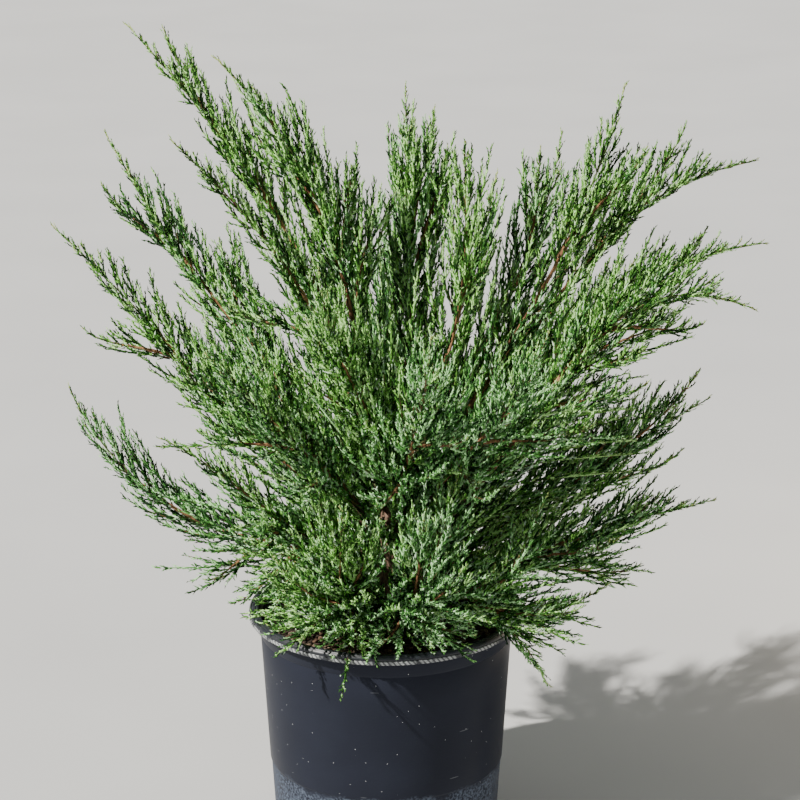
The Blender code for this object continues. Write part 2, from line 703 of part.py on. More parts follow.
def joined_mesh(name, limbs, sprays, spray_meshes):
    """The union by the first solver that closes it, with fewer sprays where neither does."""
    while True:
        for solver in SOLVERS:
            mesh = union_mesh(name, limbs, sprays, spray_meshes, solver)
            if is_closed(mesh):
                return mesh
        sprays.pop()


def keep_outer_body(mesh):
    """Drops loose scraps, and fills sealed hollows by dropping their shells."""
    shape = bmesh.new()
    shape.from_mesh(mesh)
    bmesh.ops.remove_doubles(shape, verts=shape.verts, dist=MERGE)
    left = set(shape.faces)
    bodies = []
    while left:
        front = [left.pop()]
        body = []
        while front:
            face = front.pop()
            body.append(face)
            joined = [edge.link_faces for edge in face.edges if len(edge.link_faces) == 2]
            for other in {other for pair in joined for other in pair} & left:
                left.remove(other)
                front.append(other)
        bodies.append(body)
    bodies.sort(key=len)
    for body in bodies[:-1]:
        bmesh.ops.delete(shape, geom=body, context="FACES")
    shape.to_mesh(mesh)
    shape.free()


def bough_limb(plume, axis):
    points = axis_stretch(axis, 0.0, plume.bare, BOUGH_SEGMENTS)
    taper = (BOUGH_END_RADIUS - BOUGH_RADIUS) / BOUGH_SEGMENTS
    return Limb(points, [BOUGH_RADIUS + taper * k for k in range(BOUGH_SEGMENTS + 1)])


def grow_mass(plume, space, axis, forks):
    """The limbs and sprays of one mass: its main leader, then its forks."""
    rng = random.Random(plume.name)
    limbs = []
    sprays = []
    start = plume.bare + GAP / axis_length(axis)
    leaders = [Leader(axis, start, STEM_RADIUS, plume.core, LONG_CORE, plume.spread)]
    for fork, fork_line in zip(plume.forks, forks):
        spread = plume.spread * (1 + fork.full) / 2
        leaders.append(Leader(fork_line, 0.0, FORK_RADIUS, plume.core * fork.full, SHORT_CORE, spread))
    for leader in leaders:
        siblings = [other.axis for other in leaders if other is not leader]
        if siblings:
            space.siblings = np.array(limb_points(siblings, plume.core * SIBLING_ROOM))
        grow_leader(space, limbs, sprays, rng, leader)
    return limbs, sprays


def add_plumes(collection):
    """Each plume's bough, and its mass in the space left by the others."""
    axes = plume_axes()
    forks = {plume.name: [fork_axis(fork, axes[plume.name]) for fork in plume.forks] for plume in PLUMES}
    boughs = {plume.name: axis_stretch(axes[plume.name], 0.0, plume.bare, AXIS_STEPS) for plume in PLUMES}
    bark = make_material("bough_bark", (0.24, 0.15, 0.10), 0.85)
    spray_meshes = {3: make_spray_mesh("short_spray", 3), 5: make_spray_mesh("long_spray", 5)}
    for index, plume in enumerate(PLUMES):
        axis = axes[plume.name]
        own_forks = forks[plume.name]
        others = [line for name, line in axes.items() if name != plume.name]
        others += [line for name, lines in forks.items() if name != plume.name for line in lines]
        space = Space([axis, *own_forks], others, boughs.values())
        limbs, sprays = grow_mass(plume, space, axis, own_forks)
        bough = limb_mesh(f"{plume.name}_bough", bough_limb(plume, axis), BOUGH_SIDES)
        make_object(f"{plume.name}_bough", bough, collection, bark)
        green = make_material(f"{plume.name}_green", FOLIAGE_GREENS[index % len(FOLIAGE_GREENS)], 0.7)
        mass = joined_mesh(f"{plume.name}_foliage", limbs, sprays, spray_meshes)
        make_object(f"{plume.name}_foliage", mass, collection, green)


def wall_radius(height):
    """The outer radius of the pot's wall."""
    return WALL_RADIUS_FOOT + (WALL_RADIUS_TOP - WALL_RADIUS_FOOT) * height / POT_HEIGHT


def pot_profile():
    """Half of the pot's section, from the middle of its floor inside, over the lip and down to the ground."""
    under_lip = POT_HEIGHT - 2 * LIP_TUBE
    collar = POT_HEIGHT - COLLAR_DEPTH
    below = collar - GROOVE_WIDTH
    inside = [
        (0.0, FLOOR_THICKNESS),
        (wall_radius(FLOOR_THICKNESS) - WALL, FLOOR_THICKNESS),
        (wall_radius(collar) - WALL, collar),
        (wall_radius(POT_HEIGHT) - WALL, under_lip),
    ]
    lip = []
    for turn in LIP_TURNS:
        across = LIP_TUBE * math.cos(math.radians(turn))
        up = LIP_TUBE * math.sin(math.radians(turn))
        lip.append((LIP_RADIUS - LIP_TUBE + across, POT_HEIGHT - LIP_TUBE + up))
    outside = [
        (wall_radius(POT_HEIGHT) + COLLAR_STEP, under_lip),
        (wall_radius(collar), collar),
        (wall_radius(collar) - GROOVE_DEPTH, collar - GROOVE_WIDTH / 2),
        (wall_radius(below), below),
        (wall_radius(FOOT_CHAMFER), FOOT_CHAMFER),
        (WALL_RADIUS_FOOT - FOOT_CHAMFER, 0.0),
        (0.0, 0.0),
    ]
    return inside + lip + outside


def turned_object(name, profile, collection, material):
    """The profile turned about Z."""
    mesh = bpy.data.meshes.new(name)
    corners = [(radius, 0.0, height) for radius, height in profile]
    edges = [(k, k + 1) for k in range(len(profile) - 1)]
    mesh.from_pydata(corners, edges, [])
    obj = make_object(name, mesh, collection, material)
    screw = obj.modifiers.new("turn", "SCREW")
    screw.steps = POT_SIDES
    screw.render_steps = POT_SIDES
    screw.use_merge_vertices = True
    screw.merge_threshold = 0.0001
    screw.use_smooth_shade = False
    return obj


def add_pot(collection):
    plastic = make_material("black_plastic", (0.030, 0.034, 0.042), 0.45)
    turned_object("pot", pot_profile(), collection, plastic)


def add_soil(collection):
    """The bark mix, which fills the pot to a little below its lip."""
    bark_mix = make_material("bark_mix", (0.085, 0.065, 0.048), 0.95)
    bottom = FLOOR_THICKNESS + GAP
    inset = WALL + 1.5 * GAP
    profile = [
        (0.0, SOIL_TOP),
        (wall_radius(SOIL_TOP) - inset, SOIL_TOP),
        (wall_radius(bottom) - inset, bottom),
        (0.0, bottom),
    ]
    turned_object("soil", profile, collection, bark_mix)


def add_trunk(collection):
    """The short trunk: a closed cap at soil level drawn up through its rings."""
    bark = make_material("trunk_bark", (0.20, 0.13, 0.09), 0.9)
    foot = SOIL_TOP + GAP
    heights = [foot + (TRUNK_TOP - foot) * share for share in TRUNK_RINGS]
    shape = bmesh.new()
    bmesh.ops.create_circle(
        shape,
        cap_ends=True,
        segments=TRUNK_SIDES,
        radius=trunk_radius(foot),
        matrix=Matrix.Translation(trunk_centre(foot)),
    )
    cap = shape.faces[:][0]
    for before, height in zip(heights, heights[1:]):
        cap = drawn_out(shape, cap, keep_cap=(before == foot))
        grow = trunk_radius(height) / trunk_radius(before)
        move = Matrix.Translation(trunk_centre(height)) @ Matrix.Diagonal((grow, grow, 1, 1))
        move = move @ Matrix.Translation(-trunk_centre(before))
        bmesh.ops.transform(shape, matrix=move, verts=cap.verts)
    bmesh.ops.recalc_face_normals(shape, faces=shape.faces)
    mesh = bpy.data.meshes.new("trunk")
    shape.to_mesh(mesh)
    shape.free()
    make_object("trunk", mesh, collection, bark)


def main():
    clear_scene()
    collection = make_collection("potted_juniper")
    add_pot(collection)
    add_soil(collection)
    add_trunk(collection)
    add_plumes(collection)


main()
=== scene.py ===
import math
import random
from collections import namedtuple

import bmesh
import bpy
import numpy as np
from mathutils import Matrix, Vector
from mathutils.kdtree import KDTree


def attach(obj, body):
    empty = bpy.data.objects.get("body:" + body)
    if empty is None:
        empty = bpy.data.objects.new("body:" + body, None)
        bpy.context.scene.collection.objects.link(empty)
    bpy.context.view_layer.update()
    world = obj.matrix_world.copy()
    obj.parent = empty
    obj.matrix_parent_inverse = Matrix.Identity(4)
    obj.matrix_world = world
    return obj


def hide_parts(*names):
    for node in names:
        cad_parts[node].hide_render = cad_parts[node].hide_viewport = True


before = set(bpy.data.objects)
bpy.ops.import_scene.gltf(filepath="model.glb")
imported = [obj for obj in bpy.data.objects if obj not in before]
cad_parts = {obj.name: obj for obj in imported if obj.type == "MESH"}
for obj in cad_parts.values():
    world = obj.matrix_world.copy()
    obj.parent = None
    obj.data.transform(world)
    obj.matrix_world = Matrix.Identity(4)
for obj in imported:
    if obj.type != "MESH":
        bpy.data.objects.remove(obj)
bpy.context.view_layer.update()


# Clearance between neighbouring solids.
GAP = 0.0003

# Pot: a black nursery can with a rolled lip.
POT_HEIGHT = 0.240
LIP_RADIUS = 0.140
LIP_TUBE = 0.0045
WALL = 0.0024
WALL_RADIUS_TOP = 0.1295
WALL_RADIUS_FOOT = 0.1150
FOOT_CHAMFER = 0.0020
FLOOR_THICKNESS = 0.0030
COLLAR_DEPTH = 0.026
COLLAR_STEP = 0.0006
GROOVE_DEPTH = 0.0009
GROOVE_WIDTH = 0.0024

# Soil stands a little below the lip.
SOIL_TOP = 0.222

# Trunk: a short flared stem that leans a little to the right.
TRUNK_TOP = 0.392
TRUNK_LEAN = 0.012
TRUNK_FOOT_RADIUS = 0.0165
TRUNK_TOP_RADIUS = 0.0085
FLARE = 0.0085
FLARE_HEIGHT = 0.022

# Boughs are seated between these heights on the trunk, the flattest lowest and the steepest highest. Where a
# seat is taken, others are tried, up to SEAT_STEPS higher or lower and swung round the trunk by these degrees.
SEAT_LOWEST = 0.246
SEAT_HIGHEST = 0.384
STEEPEST_RISE = 80.0
SEAT_STEP = 0.005
SEAT_STEPS = 8
SEAT_SWINGS = (0, 15, -15, 30, -30, 45, -45, 60, -60)
SWING_LIKE_STEP = 12
SEARCH_STEPS = 48
LIMB_ROOM = 0.0010

# Limbs: radii of a bough at its seat and its end, of the stems that carry a mass, and of any limb's tip.
BOUGH_RADIUS = 0.0044
BOUGH_END_RADIUS = 0.0032
STEM_RADIUS = 0.0029
FORK_RADIUS = 0.0019
TIP_RADIUS = 0.0007
THIN_BY = 0.625

# A centre line bends over these shares of its length at each end, and a fork lifts as it ends.
BEND = 0.40
FORK_END_BEND = 0.32
FORK_LIFT = 0.6
AXIS_STEPS = 40
AXIS_PARTS = 6

# Growth rule, shared by every mass: side sprays turned by the golden angle along a leader, pulled upwards and
# shorter towards its tip, where one more spray ends it. The drifts vary their place, turn and length.
GOLDEN_TURN = math.radians(137.5)
UP_PULL = 0.22
SHORTENING = 0.80
SHORTENING_CURVE = 1.5
TURN_DRIFT = 0.2

# Room that foliage keeps to the pot.
POT_CLEARANCE = 0.0015

# Each plume is a bough and the mass that it carries. azimuth runs from +X towards +Y and, with reach and
# height, places its tip from the pot's centre and the ground. seat_rise and tip_rise are its slopes there, in
# degrees. bare is the share of its length that the bough takes, spread the length of its longest side sprays
# and core the radius of its dense core. Each fork is one more leader: it leaves the first at a share of its
# length, ends at a place of its own, and full scales its core and its sprays.
Plume = namedtuple("Plume", "name azimuth reach height seat_rise tip_rise bare spread core forks")
Fork = namedtuple("Fork", "along azimuth reach height full")

# A leader is a centre line that carries sprays from start on. A limb is what is drawn out along it.
Leader = namedtuple("Leader", "axis start radius core core_shape spread")

PLUMES = (
    Plume("left_peak", 173, 0.253, 0.831, 78, 48, 0.20, 0.080, 0.016,
          (Fork(0.58, 162, 0.229, 0.819, 0.6),)),
    Plume("left_crest", 199, 0.171, 0.815, 80, 46, 0.20, 0.085, 0.019,
          (Fork(0.42, 223, 0.044, 0.704, 1.0), Fork(0.60, 190, 0.130, 0.740, 0.8),
           Fork(0.30, 262, 0.030, 0.684, 1.0))),
    Plume("left_sweep", 212, 0.235, 0.750, 74, 44, 0.20, 0.075, 0.015,
          (Fork(0.36, 209, 0.180, 0.585, 0.9),)),
    Plume("left_arch", 161, 0.298, 0.711, 54, 60, 0.18, 0.080, 0.017,
          (Fork(0.66, 168, 0.289, 0.666, 0.6), Fork(0.35, 161, 0.176, 0.610, 1.0))),
    Plume("left_reach", 177, 0.329, 0.634, 34, 44, 0.18, 0.080, 0.017,
          (Fork(0.55, 180, 0.300, 0.534, 0.4), Fork(0.30, 193, 0.210, 0.520, 1.0))),
    Plume("left_low", 185, 0.313, 0.481, 6, 68, 0.18, 0.080, 0.019,
          (Fork(0.35, 174, 0.215, 0.360, 0.7), Fork(0.25, 198, 0.190, 0.290, 1.0))),
    Plume("left_skirt", 209, 0.246, 0.458, 14, 32, 0.16, 0.060, 0.012,
          (Fork(0.20, 203, 0.170, 0.268, 1.0), Fork(0.30, 226, 0.195, 0.360, 1.2),
           Fork(0.20, 228, 0.175, 0.280, 1.0))),
    Plume("centre_peak", 46, 0.028, 0.772, 76, 93, 0.18, 0.085, 0.025,
          (Fork(0.50, 46, 0.069, 0.743, 0.8), Fork(0.38, 26, 0.068, 0.710, 0.9))),
    Plume("centre_right", -12, 0.110, 0.695, 74, 76, 0.18, 0.085, 0.025,
          (Fork(0.50, 21, 0.084, 0.715, 0.9),)),
    Plume("right_twin", 34, 0.216, 0.706, 62, 80, 0.20, 0.080, 0.020,
          (Fork(0.60, 21, 0.165, 0.703, 0.6),)),
    Plume("right_peak", -5, 0.231, 0.782, 60, 76, 0.20, 0.080, 0.020,
          (Fork(0.62, -14, 0.256, 0.729, 0.6),)),
    Plume("right_crest", 9, 0.375, 0.689, 50, 8, 0.20, 0.080, 0.019,
          (Fork(0.60, 18, 0.318, 0.719, 0.6),)),
    Plume("right_arch", -6, 0.371, 0.629, 42, 8, 0.20, 0.080, 0.019,
          (Fork(0.60, -4, 0.314, 0.641, 0.6), Fork(0.40, -10, 0.299, 0.575, 0.9))),
    Plume("right_sweep", -22, 0.374, 0.590, 38, -18, 0.18, 0.085, 0.022,
          (Fork(0.45, -23, 0.271, 0.545, 0.9), Fork(0.28, -36, 0.246, 0.482, 0.9),
           Fork(0.35, -22, 0.272, 0.509, 0.9), Fork(0.60, -11, 0.314, 0.555, 0.6))),
    Plume("right_shade", 21, 0.364, 0.420, 14, 22, 0.18, 0.080, 0.021,
          (Fork(0.55, 17, 0.339, 0.461, 0.5), Fork(0.32, 2, 0.253, 0.463, 1.0),
           Fork(0.40, 18, 0.326, 0.374, 0.5))),
    Plume("right_low", -5, 0.331, 0.363, 12, 14, 0.16, 0.080, 0.020,
          (Fork(0.50, 0, 0.279, 0.361, 0.7), Fork(0.30, -24, 0.249, 0.350, 1.0),
           Fork(0.25, 0, 0.260, 0.284, 0.7))),
    Plume("right_droop", -37, 0.199, 0.201, 30, -62, 0.18, 0.070, 0.015,
          (Fork(0.45, -18, 0.232, 0.290, 0.5), Fork(0.30, -34, 0.233, 0.290, 1.3),
           Fork(0.30, -40, 0.200, 0.400, 1.1), Fork(0.20, -50, 0.165, 0.330, 1.0))),
    Plume("front_left", 233, 0.274, 0.573, 50, 48, 0.16, 0.090, 0.026,
          (Fork(0.22, 243, 0.190, 0.430, 0.9), Fork(0.42, 222, 0.240, 0.480, 0.8),
           Fork(0.30, 221, 0.165, 0.560, 0.8))),
    Plume("front_rise", 251, 0.190, 0.640, 68, 74, 0.16, 0.090, 0.026,
          (Fork(0.22, 262, 0.135, 0.480, 0.9), Fork(0.42, 240, 0.150, 0.580, 0.8),
           Fork(0.28, 234, 0.150, 0.530, 0.9))),
    Plume("front_centre", -81, 0.262, 0.600, 54, 62, 0.16, 0.090, 0.026,
          (Fork(0.20, -93, 0.180, 0.410, 0.9), Fork(0.42, -70, 0.225, 0.490, 0.8))),
    Plume("front_right", -56, 0.265, 0.590, 54, 60, 0.16, 0.090, 0.026,
          (Fork(0.22, -62, 0.190, 0.430, 0.9), Fork(0.42, -45, 0.240, 0.480, 0.8))),
    Plume("front_skirt_left", 244, 0.190, 0.270, 22, -10, 0.14, 0.075, 0.020,
          (Fork(0.25, 227, 0.170, 0.268, 1.0), Fork(0.25, 262, 0.166, 0.264, 1.0),
           Fork(0.25, 256, 0.175, 0.405, 1.2), Fork(0.25, 268, 0.150, 0.385, 1.2),
           Fork(0.20, 244, 0.150, 0.420, 1.2), Fork(0.35, 236, 0.190, 0.350, 1.0))),
    Plume("front_skirt_right", -76, 0.185, 0.266, 22, -10, 0.14, 0.075, 0.020,
          (Fork(0.25, -57, 0.160, 0.262, 1.0), Fork(0.25, -93, 0.164, 0.264, 1.0),
           Fork(0.25, -78, 0.175, 0.400, 1.2), Fork(0.20, -62, 0.150, 0.430, 1.2),
           Fork(0.30, -66, 0.190, 0.350, 1.0))),
    Plume("back_left", 138, 0.312, 0.490, 44, 46, 0.18, 0.090, 0.026,
          (Fork(0.35, 146, 0.230, 0.400, 0.9), Fork(0.50, 128, 0.270, 0.520, 0.8))),
    Plume("back_centre", 88, 0.275, 0.590, 62, 62, 0.16, 0.090, 0.026,
          (Fork(0.35, 78, 0.200, 0.480, 0.9), Fork(0.50, 102, 0.240, 0.560, 0.8))),
    Plume("back_right", 43, 0.370, 0.540, 44, 40, 0.18, 0.090, 0.026,
          (Fork(0.35, 52, 0.260, 0.470, 0.9), Fork(0.50, 36, 0.290, 0.560, 0.8))),
    Plume("back_skirt_left", 118, 0.290, 0.385, 20, 26, 0.18, 0.085, 0.022,
          (Fork(0.25, 130, 0.190, 0.280, 1.0), Fork(0.35, 105, 0.200, 0.290, 1.0))),
    Plume("back_skirt_right", 68, 0.320, 0.370, 18, 24, 0.18, 0.085, 0.022,
          (Fork(0.25, 84, 0.190, 0.280, 1.0), Fork(0.35, 56, 0.220, 0.290, 1.0))),
)


def direction(azimuth, rise):
    turn = math.radians(azimuth)
    lift = math.radians(rise)
    return Vector((math.cos(turn) * math.cos(lift), math.sin(turn) * math.cos(lift), math.sin(lift)))


def tip_place(plume):
    """Where the tip of a plume, or of a fork, lies."""
    turn = math.radians(plume.azimuth)
    return Vector((math.cos(turn) * plume.reach, math.sin(turn) * plume.reach, plume.height))


def bezier(start, start_pull, end_pull, end, steps):
    """Points along a cubic curve between its ends, pulled towards two places on the way."""
    points = []
    for step in range(steps + 1):
        t = step / steps
        s = 1.0 - t
        points.append(s**3 * start + 3 * s * s * t * start_pull + 3 * s * t * t * end_pull + t**3 * end)
    return points


def trunk_centre(height):
    return Vector((TRUNK_LEAN * (height - SOIL_TOP) / (TRUNK_TOP - SOIL_TOP), 0.0, height))


def trunk_radius(height):
    share = (height - SOIL_TOP) / (TRUNK_TOP - SOIL_TOP)
    taper = TRUNK_FOOT_RADIUS + (TRUNK_TOP_RADIUS - TRUNK_FOOT_RADIUS) * share
    flare = FLARE * max(0.0, 1.0 - (height - SOIL_TOP) / FLARE_HEIGHT) ** 2
    return taper + flare


def limb_radius(share):
    """Radius at this share of a plume's length, from its seat to its tip."""
    return BOUGH_RADIUS + (TIP_RADIUS - BOUGH_RADIUS) * min(1.0, share / THIN_BY)


def seated_axis(plume, seat_height, swing):
    """The plume's centre line from the trunk's side to its tip; swing turns its seat round the trunk."""
    tip = tip_place(plume)
    seat = trunk_centre(seat_height)
    heading = math.degrees(math.atan2(tip.y - seat.y, tip.x - seat.x)) + swing
    lift = math.radians(plume.seat_rise)
    nearest = seat.z + BOUGH_RADIUS * math.cos(lift)
    offset = trunk_radius(nearest) + GAP + BOUGH_RADIUS * math.sin(lift)
    start = seat + direction(heading, 0) * offset
    pull = BEND * (tip - start).length
    return bezier(
        start,
        start + direction(heading, plume.seat_rise) * pull,
        tip - direction(heading - swing, plume.tip_rise) * pull,
        tip,
        AXIS_STEPS,
    )


def fine_points(axis):
    """Points along the axis with the limb's radius at each, as one array."""
    rows = []
    for k in range(SEARCH_STEPS + 1):
        share = k / SEARCH_STEPS
        rows.append((*axis_point(axis, share)[0], limb_radius(share)))
    return np.array(rows)


def room_between(first, second):
    """The smallest gap between two limbs given as points with radii."""
    apart = np.linalg.norm(first[:, None, :3] - second[None, :, :3], axis=2)
    return float((apart - first[:, None, 3] - second[None, :, 3]).min())


def plume_axes():
    """Seats each plume, steepest first, at the place nearest its own height where it clears those seated."""
    middle = trunk_centre((SEAT_LOWEST + SEAT_HIGHEST) / 2)

    def steepness(plume):
        tip = tip_place(plume)
        return math.degrees(math.atan2(tip.z - middle.z, (tip - middle).to_2d().length))

    axes = {}
    placed = []
    for plume in sorted(PLUMES, key=steepness, reverse=True):
        share = min(1.0, max(0.0, steepness(plume) / STEEPEST_RISE))
        wanted = SEAT_LOWEST + (SEAT_HIGHEST - SEAT_LOWEST) * share
        best = None
        for effort, height, swing in seat_choices(wanted):
            axis = seated_axis(plume, height, swing)
            points = fine_points(axis)
            room = min([room_between(points, other) for other in placed], default=1.0)
            if best is None or room > best[0]:
                best = (room, axis, points)
            if room > LIMB_ROOM:
                break
        axes[plume.name] = best[1]
        placed.append(best[2])
    return axes


def seat_choices(wanted):
    """Heights and swings to try for a seat, the least change first."""
    choices = []
    for step in range(-SEAT_STEPS, SEAT_STEPS + 1):
        height = wanted + step * SEAT_STEP
        if not SEAT_LOWEST <= height <= SEAT_HIGHEST:
            continue
        for swing in SEAT_SWINGS:
            choices.append((abs(step) + abs(swing) / SWING_LIKE_STEP, height, swing))
    return sorted(choices)


def fork_axis(fork, axis):
    """One more leader leaves the main one along its way and ends at its own tip."""
    index = round(fork.along * AXIS_STEPS)
    start = axis[index]
    tip = tip_place(fork)
    length = (tip - start).length
    heading = (axis[index + 1] - start).normalized()
    end_heading = ((tip - start).normalized() + Vector((0, 0, FORK_LIFT))).normalized()
    leaving = start + heading * length * BEND
    arriving = tip - end_heading * length * FORK_END_BEND
    return bezier(start, leaving, arriving, tip, AXIS_STEPS // 2)


def axis_point(axis, share):
    """The point and heading at this share of the axis, counted in its steps."""
    place = min(max(share, 0.0), 1.0) * (len(axis) - 1)
    index = min(int(place), len(axis) - 2)
    step = axis[index + 1] - axis[index]
    return axis[index] + step * (place - index), step.normalized()


def axis_stretch(axis, start, end, segments):
    """Points evenly along the axis between two shares of it."""
    return [axis_point(axis, start + (end - start) * k / segments)[0] for k in range(segments + 1)]


def nearest_tree(axes):
    """A search tree of closely set points on these axes."""
    points = [
        axis[k].lerp(axis[k + 1], part / AXIS_PARTS)
        for axis in axes
        for k in range(len(axis) - 1)
        for part in range(AXIS_PARTS + 1)
    ]
    tree = KDTree(len(points))
    for index, point in enumerate(points):
        tree.insert(point, index)
    tree.balance()
    return tree


def clear_of_pot(point, clearance):
    """Foliage stays above the lip and the soil, or hangs outside the lip."""
    radius = point.to_2d().length
    if radius > LIP_RADIUS + clearance:
        return point.z > clearance
    if radius < WALL_RADIUS_TOP - LIP_TUBE * 2 - clearance:
        return point.z > SOIL_TOP + clearance
    return point.z > POT_HEIGHT + clearance


def axis_length(axis):
    return sum((axis[k + 1] - axis[k]).length for k in range(len(axis) - 1))


def side_heading(heading, turn, angle):
    """A heading that leaves this one sideways at the angle, pulled upwards."""
    side = heading.orthogonal().normalized()
    side.rotate(Matrix.Rotation(turn, 3, heading))
    leaving = heading * math.cos(angle) + side * math.sin(angle)
    return (leaving + Vector((0, 0, UP_PULL))).normalized()


# Finer growth: side shoots on every leader, sprigs on every shoot, and scaly cords on every sprig. Lengths in
# metres, angles in radians, and each pair is the least and the most.
SHOOT_SPACING = 0.0053
INNER_CROWDING = 1.2
INNER_FULLNESS = 2.4
SHOOT_COARSENESS = 0.4
CORD_COARSENESS = 1.4
SHOOT_ANGLES = (0.40, 0.80)
SHOOT_LENGTHS = (0.50, 1.20)
SHOOT_STEPS = 5
SHOOT_BEND = 0.38
SHOOT_WANDER = 0.07
DROOP_SHARE = 0.35
DROOP_UNTIL = 0.50
DROOP = 0.08
SHOOT_TRIES = (1.0, 0.75, 0.5, 0.3)
SHORTEST_SHOOT = 0.0032
WHIP_LENGTH = 0.095
WHIP_LEAST = 0.07
SPACE_OVERLAP = 0.038
LEAFY_FROM = 0.15
SPRIG_SPACING = 0.0043
SPRIG_LONGEST = 0.022
SPRIG_ANGLES = (0.18, 0.45)
SPRIG_BEND = 0.12
CORD_SPACING = 0.00167
CORD_LENGTHS = (0.0025, 0.0043)
CORD_ANGLES = (0.24, 0.58)
CORD_RADIUS = 0.00055
SPRIG_RADIUS = 0.00080
SHOOT_RADIUS = 0.00080
STEM_TAPER = 2.2
BROWN_UNTIL = 0.62
TRUNK_SHOOTS = 160
TRUNK_LEAFY_FROM = 0.262
TRUNK_SHOOT_LENGTHS = (0.070, 0.185)
BARE_SHARE = 0.12
BARE_STRETCH = 0.09
BARE_STRETCH_STARTS = (0.22, 0.55)
BARE_STRETCH_SKIPS = 0.75
STEM_THICKENING = 1.3
LEADER_STEPS = 16
CROWN_TOP = 0.83
LEVEL_UNTIL = 0.25
UPRIGHT_FROM = 0.38
PIECE_FACES = 190000

# Greens with painted shade and sunlight, from the shaded inside to the sunlit tips, as shares of all sprigs and plain
# base colours: a yellower one for the warm shoots, most of them high on the plant, and a bluer one for the cool shoots.
TINTS = (
    ("deep", 0.19, (0.005, 0.040, 0.002), (0.005, 0.038, 0.004)),
    ("shade", 0.18, (0.032, 0.122, 0.012), (0.027, 0.112, 0.019)),
    ("middle", 0.19, (0.092, 0.276, 0.034), (0.076, 0.256, 0.046)),
    ("fresh", 0.20, (0.208, 0.488, 0.084), (0.176, 0.444, 0.108)),
    ("light", 0.24, (0.520, 0.880, 0.310), (0.470, 0.840, 0.380)),
)
# The bloom green is partly the waxy bloom of the leaves and partly painted glints on single cords.
BLOOM_AND_GLINT = ("bloom", (0.640, 0.840, 0.600))
YELLOW = ("yellow_tip", (0.540, 0.660, 0.200))
WARM_SHARE = 0.62
BLOOM_AND_GLINT_SHARES = (0.09, 0.03)
# Painted shade: sprigs darken with their distance across from TONE_CENTRE, so the middle of the crown reads lighter.
TONE_CENTRE = 0.05
# LIFTED_SHARE of the cords are painted glints, two bands lighter, and SUNK_SHARE are painted shade, two bands darker.
LIFTED_SHARE = 0.20
SUNK_SHARE = 0.22
YELLOW_SHARE = 0.6
YELLOW_FROM = 0.92

# Level sprays at the trunk's foot: those all round and at the front left hide the soil, and those at the right
# back close a gap to the backdrop.
LevelSprays = namedtuple("LevelSprays", "count azimuth within heights rises lengths")
LEVEL_SPRAYS = (
    LevelSprays(104, 0.0, math.pi, (0.234, 0.262), (0.04, 0.28), (0.100, 0.142)),
    LevelSprays(38, -2.30, 0.52, (0.234, 0.262), (0.04, 0.28), (0.100, 0.142)),
    LevelSprays(48, 0.50, 0.55, (0.250, 0.330), (0.10, 0.50), (0.130, 0.210)),
    LevelSprays(26, 0.30, 0.45, (0.330, 0.388), (0.25, 0.75), (0.190, 0.270)),
)

Growth = namedtuple("Growth", "starts ends radii owner out roots shoot")


def deselect():
    bpy.ops.object.select_all(action="DESELECT")


def unit(vectors):
    return vectors / np.maximum(np.linalg.norm(vectors, axis=-1, keepdims=True), 1e-12)


def square_frame(headings):
    """Two unit vectors square to each heading and to each other."""
    helper = np.where(np.abs(headings[:, 2:3]) < 0.9, [[0.0, 0.0, 1.0]], [[1.0, 0.0, 0.0]])
    first = unit(np.cross(helper, headings))
    return first, np.cross(headings, first)


def joined_piece(name, points, faces, material, slot):
    """One mesh from arrays of points and triangles, riding on the plant's only body."""
    mesh = bpy.data.meshes.new(name)
    mesh.vertices.add(len(points))
    mesh.vertices.foreach_set("co", np.asarray(points, np.float32).ravel())
    mesh.loops.add(faces.size)
    mesh.loops.foreach_set("vertex_index", np.asarray(faces, np.int32).ravel())
    mesh.polygons.add(len(faces))
    mesh.polygons.foreach_set("loop_start", np.arange(0, faces.size, faces.shape[1], dtype=np.int32))
    mesh.update(calc_edges=True)
    mesh.materials.append(material)
    obj = bpy.data.objects.new(name, mesh)
    bpy.context.scene.collection.objects.link(obj)
    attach(obj, "root")
    return obj


def stacked(parts):
    """Joins (points, faces) pairs into one pair."""
    points = np.concatenate([part[0] for part in parts])
    starts = np.cumsum([0] + [len(part[0]) for part in parts[:-1]])
    faces = np.concatenate([part[1] + start for part, start in zip(parts, starts)])
    return points, faces


class Space:
    """The room that one mass keeps to: nearer its own centre lines than any other, clear of trunk and pot."""

    def __init__(self, own_axes, other_axes):
        self.own = nearest_tree(own_axes)
        self.others = nearest_tree(other_axes)

    def holds(self, points):
        return all(self.holds_point(point) for point in points)

    def holds_point(self, point):
        if self.others.find(point)[2] - self.own.find(point)[2] < -SPACE_OVERLAP:
            return False
        return clear_of_pot(point, POT_CLEARANCE) and clear_of_trunk(point)


def clear_of_trunk(point):
    if point.z > TRUNK_TOP:
        return True
    return (point - trunk_centre(point.z)).to_2d().length > trunk_radius(point.z)


def shoot_line(rng, root, leaving, lift, length):
    """A side shoot's points, bent from the way it leaves towards its lift."""
    points = [root]
    onward = leaving
    for _ in range(SHOOT_STEPS):
        points.append(points[-1] + onward * (length / SHOOT_STEPS))
        wander = Vector([rng.uniform(-SHOOT_WANDER, SHOOT_WANDER) for _ in range(3)])
        onward = (onward + lift * SHOOT_BEND + wander).normalized()
    return points


